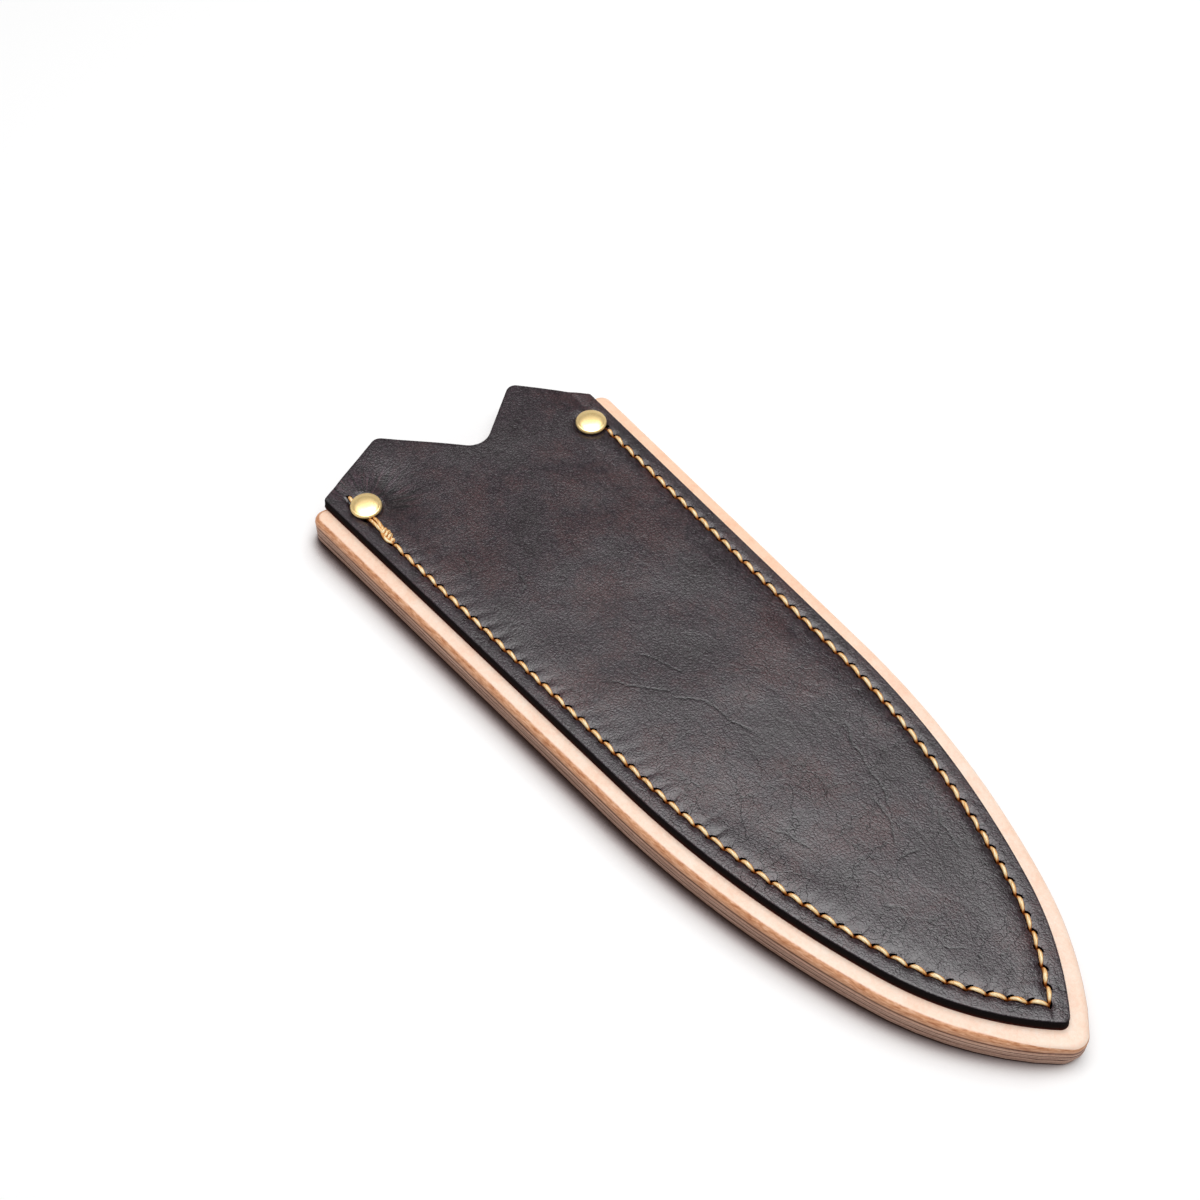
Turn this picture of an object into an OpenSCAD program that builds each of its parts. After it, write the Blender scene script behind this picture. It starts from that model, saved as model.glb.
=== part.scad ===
// Leather guard for a chef's knife.
// A dark front panel is riveted and saddle stitched over a thick natural body
// of glued plies. The top ply is the welt: it is cut away in the shape of the
// blade, which leaves a slot between the front panel and the plies below.
// The guard lies on its back, with X along the blade towards its tip, the
// blade's cutting edge on the -Y side and the front panel facing up.

/* [Plies] */
// Thickness of the dark front panel
panel_t = 3.2; // [2.6:0.1:4.5]
// Thickness of the welt, which is the depth of the blade slot
welt_t = 2.4; // [1.8:0.1:3.6]
// Thickness of each of the two thin core plies
core_t = 1.6; // [1:0.1:2.5]
// Thickness of the back ply
back_t = 2.4; // [2:0.1:4]
// Radius of the burnished edge round the natural top face
welt_edge_r = 1.2; // [0.4:0.1:1.8]
// Radius of the burnished edge round the back face
back_edge_r = 0.9; // [0.3:0.1:1.2]
// Radius of the slicked upper edge of the front panel
panel_edge_r = 0.6; // [0.2:0.1:1.2]

/* [Seam outline] */
// Distance between the two seams, measured along the line through the rivets
seam_spread = 68.4; // [58:0.2:90]
// Lean of the mouth away from square, with the cutting-edge side longer
mouth_lean = 10.3; // [0:0.1:14]
// Straight run of the spine seam, from the rivet line
spine_run = 94.5; // [70:0.5:120]
// Radius of the spine seam's drop towards the tip
drop_r = 225; // [180:1:300]
// Angle through which the spine seam drops
drop_turn = 18.4; // [12:0.2:22]
// Radius of the last curve from the drop to the tip
point_r = 80; // [60:1:140]
// Angle by which the cutting-edge seam closes in on the spine seam
edge_taper = 4.3; // [0:0.1:7]
// Straight run of the cutting-edge seam, from the rivet line
edge_run = 105.5; // [80:0.5:125]
// Radius of the belly
belly_r = 257; // [220:1:360]
// Angle through which the belly turns
belly_turn = 15.8; // [10:0.2:20]
// Radius of the last curve from the belly up to the tip
tip_r = 74; // [60:1:140]

/* [Borders] */
// Width of the panel outside the seam
seam_to_panel_edge = 4.2; // [3:0.1:7]
// Width of the natural border outside the panel, on the cutting-edge side
edge_border = 4.8; // [3:0.1:8]
// Width of the natural border outside the panel, on the spine side
spine_border = 4.1; // [3:0.1:8]
// Width of glued welt inside the seam, between the stitches and the blade slot
seam_to_slot = 5; // [4.6:0.1:8]
// Corner radius of the panel at the tip
panel_tip_r = 1.8; // [1:0.1:4]
// Corner radius of the natural body at the tip
body_tip_r = 4.5; // [2:0.1:8]
// Corner radius of the natural body at the mouth
body_mouth_r = 3; // [2:0.1:5]
// Radius at the closed end of the blade slot
slot_tip_r = 2.5; // [1:0.1:6]

/* [Mouth] */
// Reach of the natural body past the rivet line, on the cutting-edge side
edge_body_reach = 7.9; // [6.5:0.1:12]
// Reach of the natural body past the rivet line, on the spine side
spine_body_reach = 9.2; // [6.5:0.1:12]
// Reach of the panel's outer corner past the rivet line, on the cutting-edge side
edge_shoulder_reach = 8.1; // [7:0.1:13]
// Reach of the panel's outer corner past the rivet line, on the spine side
spine_shoulder_reach = 9.3; // [7:0.1:13]
// Reach of the ear on the cutting-edge side past the rivet line
edge_ear_reach = 21.3; // [16:0.1:26]
// Reach of the ear on the spine side past the rivet line
spine_ear_reach = 22.1; // [16:0.1:26]
// Distance of the cutting-edge side's ear from the middle of the mouth
edge_ear_out = 20.7; // [15:0.1:24]
// Distance of the spine side's ear from the middle of the mouth
spine_ear_out = 18.6; // [15:0.1:24]
// Reach past the rivet line at which the two flanks of the notch would meet
notch_reach = 5.1; // [4:0.1:8]
// Offset of the notch from the middle towards the spine side
notch_shift = 3.4; // [0:0.1:6]
// Radius of the notch's floor
notch_r = 5.6; // [3:0.1:8]
// Radius of the ears' tips
ear_r = 2.6; // [1:0.1:4]

/* [Stitching] */
// Distance from one awl slit to the next
stitch_pitch = 4.38; // [3.6:0.01:5.4]
// Diameter of the waxed thread where it lies on the leather
thread_d = 1.1; // [0.8:0.05:1.2]
// Diameter to which the thread is squeezed inside a slit
thread_squeezed_d = 0.8; // [0.6:0.02:0.84]
// Distance between the two threads that share a slit, along the slit
thread_gap = 1.3; // [1.2:0.05:1.4]
// Angle of the slits to the seam
slit_angle = 48; // [46:1:60]
// Clearance between the squeezed threads and the walls of their slit
slit_clearance = 0.1; // [0.05:0.01:0.2]
// Distance from the rivet line back to the last slit of the cutting-edge seam
lock_reach = 5.6; // [4.8:0.1:6]
// Distance from the rivet line to the last slit of the spine seam
spine_start = 2.7; // [2.5:0.1:3.5]
// Distance from the rivet line to the first slit of the cutting-edge seam
edge_start = 5.2; // [4.5:0.1:6.5]
// Clearance round a thread that lies in a groove
groove_clearance = 0.08; // [0.05:0.01:0.2]

/* [Thread lock] */
// Diameter of the knot at the end of the thread that is sewn back beside the first stitches
knot_d = 1.8; // [1.4:0.1:2.4]

/* [Rivets] */
// Diameter of the rivet caps
cap_d = 8.3; // [7:0.1:9]
// Height of the domed front cap
cap_h = 1.7; // [1.2:0.1:2.4]
// Thickness of the caps' sheet brass
cap_wall = 0.4; // [0.3:0.05:0.5]
// Thickness of the flat back cap
back_cap_h = 1.2; // [0.9:0.1:1.4]
// Depth of the back cap below the back face
back_cap_sink = 0.3; // [0.1:0.1:0.6]
// Diameter of the rivet's post
post_d = 2.6; // [2:0.1:3]
// Diameter of the post's end, which is pressed into the front cap
post_tip_d = 2; // [1.4:0.1:2.2]
// Clearance between a rivet and its hole
rivet_clearance = 0.1; // [0.05:0.01:0.2]
// Distance from the seam in to the rivets
rivet_inset = 2.2; // [2:0.1:2.8]

/* [Hidden] */

fine = 64;
over = 1;
arc_steps = 18;
corner_steps = 5;
edge_steps = 3;
thread_sides = 6;
degrees_per_radian = 180 / PI;

dark_leather = "#352D2E";
natural_leather = "#E9BE97";
core_leather = "#A98A76";
brass = "#D9B565";
thread_tan = "#E0A45C";

// Heights of the ply faces above the surface that the guard lies on
z_lower_core = back_t;
z_upper_core = z_lower_core + core_t;
z_welt = z_upper_core + core_t;
z_panel = z_welt + welt_t;
z_top = z_panel + panel_t;

// Offsets of the outlines from the seam, outwards, on the edge side and on the spine side
seam_d = [0, 0];
panel_d = [seam_to_panel_edge, seam_to_panel_edge];
body_d = panel_d + [edge_border, spine_border];
slot_d = [-seam_to_slot, -seam_to_slot];

// The rivet line crosses the seams at these two points
across = [sin(mouth_lean), cos(mouth_lean)];
beyond = [-cos(mouth_lean), sin(mouth_lean)];
spine_from = across * seam_spread / 2;
edge_from = -across * seam_spread / 2;

// Both seams run straight, then through two arcs. s is the distance from the
// rivet line along the seam, and d is an offset outwards from it.
function arc_angle(s, start, r, most) = min(most, max(0, s - start) / r * degrees_per_radian);
function arc_step(r, from, to) = r * [sin(to) - sin(from), cos(from) - cos(to)];
drop_l = drop_r * drop_turn / degrees_per_radian;
function spine_turn(s) =
    arc_angle(s, spine_run, drop_r, drop_turn) + arc_angle(s, spine_run + drop_l, point_r, 90);
function spine_heading(s) = -spine_turn(s);
function mirrored(v) = [v.x, -v.y];
function spine_at(s, d) =
    spine_from + [min(s, spine_run), 0]
    + mirrored(arc_step(drop_r, 0, min(spine_turn(s), drop_turn)))
    + mirrored(arc_step(point_r, drop_turn, max(spine_turn(s), drop_turn)))
    + d * [sin(spine_turn(s)), cos(spine_turn(s))];

belly_l = belly_r * belly_turn / degrees_per_radian;
function edge_turn(s) =
    arc_angle(s, edge_run, belly_r, belly_turn) + arc_angle(s, edge_run + belly_l, tip_r, 90);
function edge_heading(s) = edge_taper + edge_turn(s);
function edge_at(s, d) =
    edge_from + min(s, edge_run) * [cos(edge_taper), sin(edge_taper)]
    + arc_step(belly_r, edge_taper, edge_taper + min(edge_turn(s), belly_turn))
    + arc_step(tip_r, edge_taper + belly_turn, edge_taper + max(edge_turn(s), belly_turn))
    + d * [sin(edge_heading(s)), -cos(edge_heading(s))];

// The two sides meet in a corner, found by halving the stretch that holds it
drop_centre = spine_from + [spine_run, -drop_r];
point_centre = drop_centre + (drop_r - point_r) * [sin(drop_turn), cos(drop_turn)];
function on_arc(x, centre, r) = centre.y + sqrt(max(0, pow(r, 2) - pow(x - centre.x, 2)));
function spine_y(x, d) =
    x <= drop_centre.x
        ? spine_from.y + d
        : x <= drop_centre.x + (drop_r + d) * sin(drop_turn)
            ? on_arc(x, drop_centre, drop_r + d)
            : on_arc(x, point_centre, point_r + d);
function is_past_spine(p, d) = p.y > spine_y(p.x, d);
function edge_end(d, low, high, tries) =
    tries == 0
        ? (low + high) / 2
        : is_past_spine(edge_at((low + high) / 2, d[0]), d[1])
            ? edge_end(d, low, (low + high) / 2, tries - 1)
            : edge_end(d, (low + high) / 2, high, tries - 1);
function edge_corner(d) = edge_end(d, edge_run, edge_run + belly_l + 1.2 * tip_r, 40);
function tip_corner(d) = edge_at(edge_corner(d), d[0]);
function spine_corner(d) =
    let (
        out = tip_corner(d) - point_centre,
        turn = atan2(out.x, out.y)
    )
    spine_run + drop_l + point_r * (turn - drop_turn) / degrees_per_radian;

// A corner b between the lines to a and c, rounded to radius r
function unit(v) = v / norm(v);
function rounded(a, b, c, r) =
    let (
        to_a = unit(a - b),
        to_c = unit(c - b),
        half = acos(to_a * to_c) / 2,
        centre = b + unit(to_a + to_c) * r / sin(half),
        from = b + to_a * r / tan(half) - centre,
        to = b + to_c * r / tan(half) - centre
    )
    [for (i = [0:corner_steps]) centre + r * unit(from * (corner_steps - i) + to * i)];

// One side's curve from its straight run up to the corner, left open for the corner's rounding
function side_stops(run, corner, r) =
    [for (i = [0:arc_steps]) run + (corner - 2 * r - run) * i / arc_steps];
function spine_curve(d, r) =
    [for (s = side_stops(spine_run, spine_corner(d), r)) spine_at(s, d[1])];
function edge_curve(d, r) =
    [for (s = side_stops(edge_run, edge_corner(d), r)) edge_at(s, d[0])];
function reversed(list) = [for (i = [len(list) - 1:-1:0]) list[i]];

// Where a line parallel to the rivet line, reach beyond it, crosses a side
function spine_cross(reach, d) =
    let (y = spine_from.y + d[1])
    beyond * reach + across * (y - beyond.y * reach) / across.y;
function edge_cross(reach, d) =
    let (
        out = [sin(edge_taper), -cos(edge_taper)],
        level = (edge_from + out * d[0]) * out
    )
    beyond * reach + across * (level - beyond * out * reach) / (across * out);

// A leaf outline: offset d from the seam, with its mouth at these reaches beyond the rivet line
function leaf(d, edge_reach, spine_reach, tip_radius, mouth_radius) =
    let (
        spine_mouth = spine_cross(spine_reach, d),
        edge_mouth = edge_cross(edge_reach, d),
        spine = spine_curve(d, tip_radius),
        edge = edge_curve(d, tip_radius)
    )
    concat(
        rounded(spine_mouth, edge_mouth, edge[0], mouth_radius),
        edge,
        rounded(edge[arc_steps], tip_corner(d), spine[arc_steps], tip_radius),
        reversed(spine),
        rounded(spine[0], spine_mouth, edge_mouth, mouth_radius)
    );
function body_leaf(inset) =
    leaf(
        body_d - [inset, inset], edge_body_reach - inset, spine_body_reach - inset,
        body_tip_r - inset, body_mouth_r - inset
    );
blank_reach = max(edge_ear_reach, spine_ear_reach) + 8;
function panel_leaf(inset) =
    leaf(panel_d - [inset, inset], blank_reach - inset, blank_reach - inset, panel_tip_r, 2);

// The panel's mouth edge, in steps past the rivet line and across it
function at_mouth(reach, side) = beyond * reach + across * side;
spine_shoulder = spine_cross(spine_shoulder_reach, panel_d);
edge_shoulder = edge_cross(edge_shoulder_reach, panel_d);
spine_ear = at_mouth(spine_ear_reach, spine_ear_out);
edge_ear = at_mouth(edge_ear_reach, -edge_ear_out);
notch_floor = at_mouth(notch_reach, notch_shift);
mouth_edge = concat(
    [spine_shoulder + (spine_shoulder - spine_ear)],
    rounded(spine_shoulder, spine_ear, notch_floor, ear_r),
    rounded(spine_ear, notch_floor, edge_ear, notch_r),
    rounded(notch_floor, edge_ear, edge_shoulder, ear_r),
    [edge_shoulder + (edge_shoulder - edge_ear)]
);
mouth_waste = concat(
    mouth_edge,
    [
        at_mouth(blank_reach + over, -seam_spread),
        at_mouth(blank_reach + over, seam_spread)
    ]
);

// The frame's origin is below the middle of the guard's outline
guard_points = concat(body_leaf(0), mouth_edge);
guard_low = [min([for (p = guard_points) p.x]), min([for (p = body_leaf(0)) p.y])];
guard_high = [max([for (p = guard_points) p.x]), max([for (p = body_leaf(0)) p.y])];
guard_middle = (guard_low + guard_high) / 2;

// Slits: [place, direction of sewing], from the lock, round the tip, to the spine's last slit
edge_stitches = round((edge_corner(seam_d) - edge_start) / stitch_pitch);
spine_fit = round((spine_corner(seam_d) - spine_start) / stitch_pitch);
// One more where needed, so that both threads end under the front panel
spine_stitches = spine_fit + (edge_stitches + spine_fit + 1) % 2;
edge_pitch = (edge_corner(seam_d) - edge_start) / edge_stitches;
spine_pitch = (spine_corner(seam_d) - spine_start) / spine_stitches;
corner_heading = (edge_heading(edge_corner(seam_d)) + 180 + spine_heading(spine_corner(seam_d))) / 2;
slits = concat(
    [[edge_at(-lock_reach, 0), edge_heading(0)]],
    [
        for (i = [0:edge_stitches - 1])
            let (s = edge_start + i * edge_pitch)
            [edge_at(s, 0), edge_heading(s)]
    ],
    [[tip_corner(seam_d), corner_heading]],
    [
        for (i = [1:spine_stitches])
            let (s = spine_corner(seam_d) - i * spine_pitch)
            [spine_at(s, 0), 180 + spine_heading(s)]
    ]
);
last_slit = len(slits) - 1;
through_slits = [for (i = [1:last_slit - 1]) slits[i]];

squeezed_r = thread_squeezed_d / 2;
thread_r = thread_d / 2;
slit_half_w = squeezed_r + slit_clearance;
slit_taper = 0.6;
slit_half_l = thread_gap / 2 + squeezed_r + 0.42 + slit_clearance;
slit_outline = [
    [-slit_half_l, 0], [slit_taper - slit_half_l, slit_half_w], [slit_half_l - slit_taper, slit_half_w],
    [slit_half_l, 0], [slit_half_l - slit_taper, -slit_half_w], [slit_taper - slit_half_l, -slit_half_w]
];
groove_depth = thread_d + groove_clearance;
thread_swing = thread_gap / 2 * sin(slit_angle);
groove_half_w = 0.3 + max(slit_half_l * sin(slit_angle), thread_swing + thread_r);

// Threads. A stitch leaves its first slit at the leading end of the slit and
// enters the next slit at the trailing end. Under the work it goes the other
// way, so that the two threads pass through every slit side by side.
along_slit = [cos(slit_angle), sin(slit_angle)];
function turned(v, a) = [v.x * cos(a) - v.y * sin(a), v.x * sin(a) + v.y * cos(a)];
function slit_side(i, side) = slits[i][0] + side * thread_gap / 2 * turned(along_slit, slits[i][1]);
resting = 0.02;
// The stitches beside the rivets lie in grooves, so that the caps can sit flat over them
function is_sunk(i, t) = i == 0 || (i == last_slit - 1 && t > 0.3);
function front_height(i, t) = is_sunk(i, t) ? -thread_r - groove_clearance : thread_r + resting;
function slit_height(i, t) = is_sunk(i, t) ? -thread_r - groove_clearance : 0.2;
back_height = groove_clearance + thread_r;
function lift(p, z) = [p.x, p.y, z];
function between(a, b, t) = a + (b - a) * t;

// Stations of a stitch between slits i and i + 1: [place, radius, heading]
function heading_of(a, b) = atan2(b.y - a.y, b.x - a.x);
function front_stitch(i) =
    let (
        a = slit_side(i, 1),
        b = slit_side(i + 1, -1),
        heading = heading_of(a, b)
    )
    concat(
        [[lift(a, z_top + slit_height(i, 0)), squeezed_r, heading]],
        [
            for (t = [0.16, 0.5, 0.84])
                [lift(between(a, b, t), z_top + front_height(i, t)), thread_r, heading]
        ],
        [[lift(b, z_top + slit_height(i, 1)), squeezed_r, heading]]
    );
function back_stitch(i) =
    let (
        a = slit_side(i, -1),
        b = slit_side(i + 1, 1),
        heading = heading_of(a, b)
    )
    [
        [lift(a, back_height), squeezed_r, heading],
        [lift(between(a, b, 0.45), back_height), thread_r, heading],
        [lift(between(a, b, 0.55), back_height), thread_r, heading],
        [lift(b, back_height), squeezed_r, heading]
    ];
function tail(i, side) = [[lift(slit_side(i, side), z_welt + welt_t / 2), squeezed_r, slits[i][1]]];
function strand(first, last) =
    concat(
        tail(first, 1),
        [
            for (i = [first:last - 1])
                each (i - first) % 2 == 0 ? front_stitch(i) : back_stitch(i)
        ],
        tail(last, -1)
    );

// A tube through a list of stations
function station_way(stations, i) =
    let (
        before = stations[max(0, i - 1)][0],
        here = stations[i][0],
        after = stations[min(len(stations) - 1, i + 1)][0],
        arriving = i == 0 ? [0, 0, 0] : unit(here - before),
        leaving = i == len(stations) - 1 ? [0, 0, 0] : unit(after - here)
    )
    unit(arriving + leaving);
function station_ring(stations, i) =
    let (
        way = station_way(stations, i),
        heading = stations[i][2],
        left = [-sin(heading), cos(heading), 0],
        up = cross(way, left),
        radius = stations[i][1]
    )
    [
        for (k = [0:thread_sides - 1])
            let (a = 360 * (k + 0.5) / thread_sides)
            stations[i][0] + radius * (left * cos(a) + up * sin(a))
    ];
module tube(stations) {
    n = len(stations);
    rings = [for (i = [0:n - 1]) each station_ring(stations, i)];
    walls = [
        for (i = [0:n - 2], k = [0:thread_sides - 1])
            let (
                j = (k + 1) % thread_sides,
                low = i * thread_sides,
                high = low + thread_sides
            )
            each [[low + k, high + k, high + j], [low + k, high + j, low + j]]
    ];
    start = [for (k = [0:thread_sides - 1]) k];
    finish = [for (k = [thread_sides - 1:-1:0]) (n - 1) * thread_sides + k];
    polyhedron(rings, concat([start], walls, [finish]));
}

// A slab lofted through rings of equal length, from the bottom up
module lofted_slab(rings) {
    n = len(rings[0]);
    points = [for (ring = rings) each ring];
    walls = [
        for (i = [0:len(rings) - 2], k = [0:n - 1])
            let (
                j = (k + 1) % n,
                low = i * n,
                high = low + n
            )
            each [[low + k, high + k, high + j], [low + k, high + j, low + j]]
    ];
    underside = [for (k = [0:n - 1]) k];
    top = [for (k = [n - 1:-1:0]) (len(rings) - 1) * n + k];
    polyhedron(points, concat([underside], walls, [top]));
}
function raised(outline, z) = [for (p = outline) [p.x, p.y, z]];
function rounding_inset(r, i) = r * (1 - cos(90 * i / edge_steps));
function rounding_rise(r, i) = r * sin(90 * i / edge_steps);

module centred() {
    translate([-guard_middle.x, -guard_middle.y, 0]) children();
}
module slit_holes(list, z, height) {
    for (slit = list)
        translate([slit[0].x, slit[0].y, z])
            rotate(slit[1] + slit_angle)
                linear_extrude(height)
                    polygon(slit_outline);
}
rivet_points = [edge_at(0, -rivet_inset), spine_at(0, -rivet_inset)];
module rivet_holes(z, height) {
    for (p = rivet_points)
        translate([p.x, p.y, z])
            cylinder(h = height, d = post_d + 2 * rivet_clearance, $fn = fine);
}
module plain_ply(z, thickness) {
    difference() {
        translate([0, 0, z])
            linear_extrude(thickness)
                polygon(body_leaf(0));
        slit_holes(through_slits, z - over, thickness + 2 * over);
        rivet_holes(z - over, thickness + 2 * over);
    }
}

// Dark front panel: full leaf outline with slicked upper edges, then the mouth
// is cut to its two ears and the notch that clears the heel of the handle
module sunk_stitch_groove(i, t) {
    a = between(slits[i][0], slits[i + 1][0], t);
    b = slits[i + 1][0];
    translate([a.x, a.y, z_top - groove_depth - groove_clearance])
        rotate(heading_of(a, b))
            translate([-thread_gap / 2, -groove_half_w, 0])
                cube([norm(b - a) + thread_gap, 2 * groove_half_w, groove_depth + over]);
}
module front_panel() {
    color(dark_leather)
        centred()
            difference() {
                lofted_slab(concat(
                    [raised(panel_leaf(0), z_panel)],
                    [
                        for (i = [0:edge_steps])
                            raised(
                                panel_leaf(rounding_inset(panel_edge_r, i)),
                                z_top - panel_edge_r + rounding_rise(panel_edge_r, i)
                            )
                    ]
                ));
                translate([0, 0, z_panel - over])
                    linear_extrude(panel_t + 2 * over)
                        polygon(mouth_waste);
                slit_holes(slits, z_panel - over, panel_t + 2 * over);
                rivet_holes(z_panel - over, panel_t + 2 * over);
                sunk_stitch_groove(0, 0);
                sunk_stitch_groove(last_slit - 1, 0.4);
            }
}

// Welt: the top ply of the natural body, cut away for the blade, with its
// outer edge rounded and burnished
module welt() {
    color(natural_leather)
        centred()
            difference() {
                lofted_slab(concat(
                    [raised(body_leaf(0), z_welt)],
                    [
                        for (i = [0:edge_steps])
                            raised(
                                body_leaf(rounding_inset(welt_edge_r, i)),
                                z_panel - welt_edge_r + rounding_rise(welt_edge_r, i)
                            )
                    ]
                ));
                translate([0, 0, z_welt - over])
                    linear_extrude(welt_t + 2 * over)
                        polygon(leaf(slot_d, blank_reach, blank_reach, slot_tip_r, slot_tip_r));
                slit_holes(slits, z_welt - over, welt_t + 2 * over);
                rivet_holes(z_welt - over, welt_t + 2 * over);
            }
}

// Two thin plies that fill out the body under the blade
module upper_core_ply() {
    color(core_leather)
        centred()
            plain_ply(z_upper_core, core_t);
}
module lower_core_ply() {
    color(core_leather)
        centred()
            plain_ply(z_lower_core, core_t);
}

// Back ply, with a groove that takes the stitches and seats that take the
// rivets' back caps, so that nothing on the back scratches the worktop
groove_run_out = 2.2;
function seam_band(w) =
    concat(
        [edge_at(edge_start - groove_run_out, w)],
        edge_curve([w, w], 0.2),
        reversed(spine_curve([w, w], 0.2)),
        [spine_at(spine_start + spine_pitch - slit_half_l, w)]
    );
module back_stitch_groove() {
    translate([0, 0, -over])
        linear_extrude(over + groove_depth + groove_clearance)
            polygon(concat(seam_band(groove_half_w), reversed(seam_band(-groove_half_w))));
}
module back_cap_seats() {
    for (p = rivet_points)
        translate([p.x, p.y, -over])
            cylinder(
                h = over + back_cap_sink + back_cap_h,
                d = cap_d + 2 * rivet_clearance,
                $fn = fine
            );
}
module back_ply() {
    color(core_leather)
        centred()
            difference() {
                lofted_slab(concat(
                    [
                        for (i = [edge_steps:-1:0])
                            raised(
                                body_leaf(rounding_inset(back_edge_r, i)),
                                back_edge_r - rounding_rise(back_edge_r, i)
                            )
                    ],
                    [raised(body_leaf(0), back_t)]
                ));
                slit_holes(through_slits, -over, back_t + 2 * over);
                rivet_holes(-over, back_t + 2 * over);
                back_stitch_groove();
                back_cap_seats();
            }
}

// Rivets: a domed front cap with a rolled rim and a tube that grips the post
cap_r = cap_d / 2;
rim_r = cap_wall;
rim_at = cap_r - rim_r;
dome_r = (pow(rim_at, 2) + pow(cap_h - rim_r, 2) - pow(rim_r, 2)) / (2 * (cap_h - 2 * rim_r));
dome_edge_angle = asin(rim_at / (dome_r - rim_r));
tube_l = panel_t / 2;
tube_r = post_d / 2;
socket_r = post_tip_d / 2;
dome_steps = 8;
function dome_point(r, a) = [r * sin(a), cap_h - dome_r + r * cos(a)];
function dome_height(r, at) = cap_h - dome_r + sqrt(pow(r, 2) - pow(at, 2));
inner_dome_r = dome_r - cap_wall;
inner_edge_at = rim_at - rim_r;
inner_edge_angle = asin(inner_edge_at / inner_dome_r);
inner_tube_angle = asin(tube_r / inner_dome_r);
cap_profile = concat(
    [for (i = [0:dome_steps - 1]) dome_point(dome_r, dome_edge_angle * i / dome_steps)],
    [
        for (i = [0:dome_steps])
            let (a = dome_edge_angle + (180 - dome_edge_angle) * i / dome_steps)
            [rim_at + rim_r * sin(a), rim_r + rim_r * cos(a)]
    ],
    [[inner_edge_at, 0]],
    [
        for (i = [0:dome_steps])
            dome_point(
                inner_dome_r,
                inner_edge_angle + (inner_tube_angle - inner_edge_angle) * i / dome_steps
            )
    ],
    [
        [tube_r, -tube_l],
        [socket_r, -tube_l],
        [socket_r, dome_height(inner_dome_r, socket_r)],
        [0, cap_h - cap_wall]
    ]
);
module rivet_cap(p) {
    color(brass)
        centred()
            translate([p.x, p.y, z_top])
                rotate_extrude($fn = fine)
                    polygon(cap_profile);
}
module rivet_cap_edge() {
    rivet_cap(rivet_points[0]);
}
module rivet_cap_spine() {
    rivet_cap(rivet_points[1]);
}

// The post rises from a flat back cap and ends inside the front cap's tube
back_cap_edge_r = back_cap_h / 3;
tip_top = z_top + dome_height(inner_dome_r, socket_r) - rivet_clearance;
module rivet_post(p) {
    color(brass)
        centred()
            translate([p.x, p.y, 0])
                rotate_extrude($fn = fine)
                    polygon([
                        [0, back_cap_sink],
                        [cap_r - back_cap_edge_r, back_cap_sink],
                        [cap_r, back_cap_sink + back_cap_edge_r],
                        [cap_r, back_cap_sink + back_cap_h],
                        [tube_r, back_cap_sink + back_cap_h],
                        [tube_r, z_top - tube_l],
                        [socket_r, z_top - tube_l],
                        [socket_r, tip_top],
                        [0, tip_top]
                    ]);
}
module rivet_post_edge() {
    rivet_post(rivet_points[0]);
}
module rivet_post_spine() {
    rivet_post(rivet_points[1]);
}

// Thread: both of its ends are sewn through every slit from opposite faces
module thread_first_end() {
    color(thread_tan)
        centred()
            tube(strand(0, last_slit - 1));
}
module thread_second_end() {
    color(thread_tan)
        centred()
            tube(strand(1, last_slit));
}

// The thread's end is laid back beside the first two stitches and knotted
function beside_stitch(i, t, r) =
    let (
        a = slit_side(i, 1),
        b = slit_side(i + 1, -1),
        heading = heading_of(a, b),
        apart = (thread_r + r) * cos(180 / thread_sides) + groove_clearance
    )
    [lift(between(a, b, t) + apart * [-sin(heading), cos(heading)], z_top + r + resting), r, heading];
knot_r = knot_d / 2;
module thread_lock() {
    color(thread_tan)
        centred()
            tube([
                beside_stitch(1, -0.2, squeezed_r),
                beside_stitch(1, 0.1, thread_r),
                beside_stitch(1, 0.8, thread_r),
                beside_stitch(2, -0.05, between(thread_r, knot_r, 0.3)),
                beside_stitch(2, 0.2, knot_r),
                beside_stitch(2, 0.65, knot_r),
                beside_stitch(2, 0.9, thread_r),
                beside_stitch(2, 1.05, squeezed_r)
            ]);
}

front_panel();
welt();
upper_core_ply();
lower_core_ply();
back_ply();
rivet_cap_edge();
rivet_cap_spine();
rivet_post_edge();
rivet_post_spine();
thread_first_end();
thread_second_end();
thread_lock();
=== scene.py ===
# Leather guard for a chef's knife: a dark front panel, riveted and saddle
# stitched over a natural body of glued plies that holds the blade's slot.
# Sizes are in millimetres and turn to metres where a mesh is made.
from math import acos, cos, pi, radians, sin, tan
import bpy
import numpy as np
from numpy.linalg import norm
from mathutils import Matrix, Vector, noise
from mathutils.geometry import delaunay_2d_cdt
from mathutils.kdtree import KDTree


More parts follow.
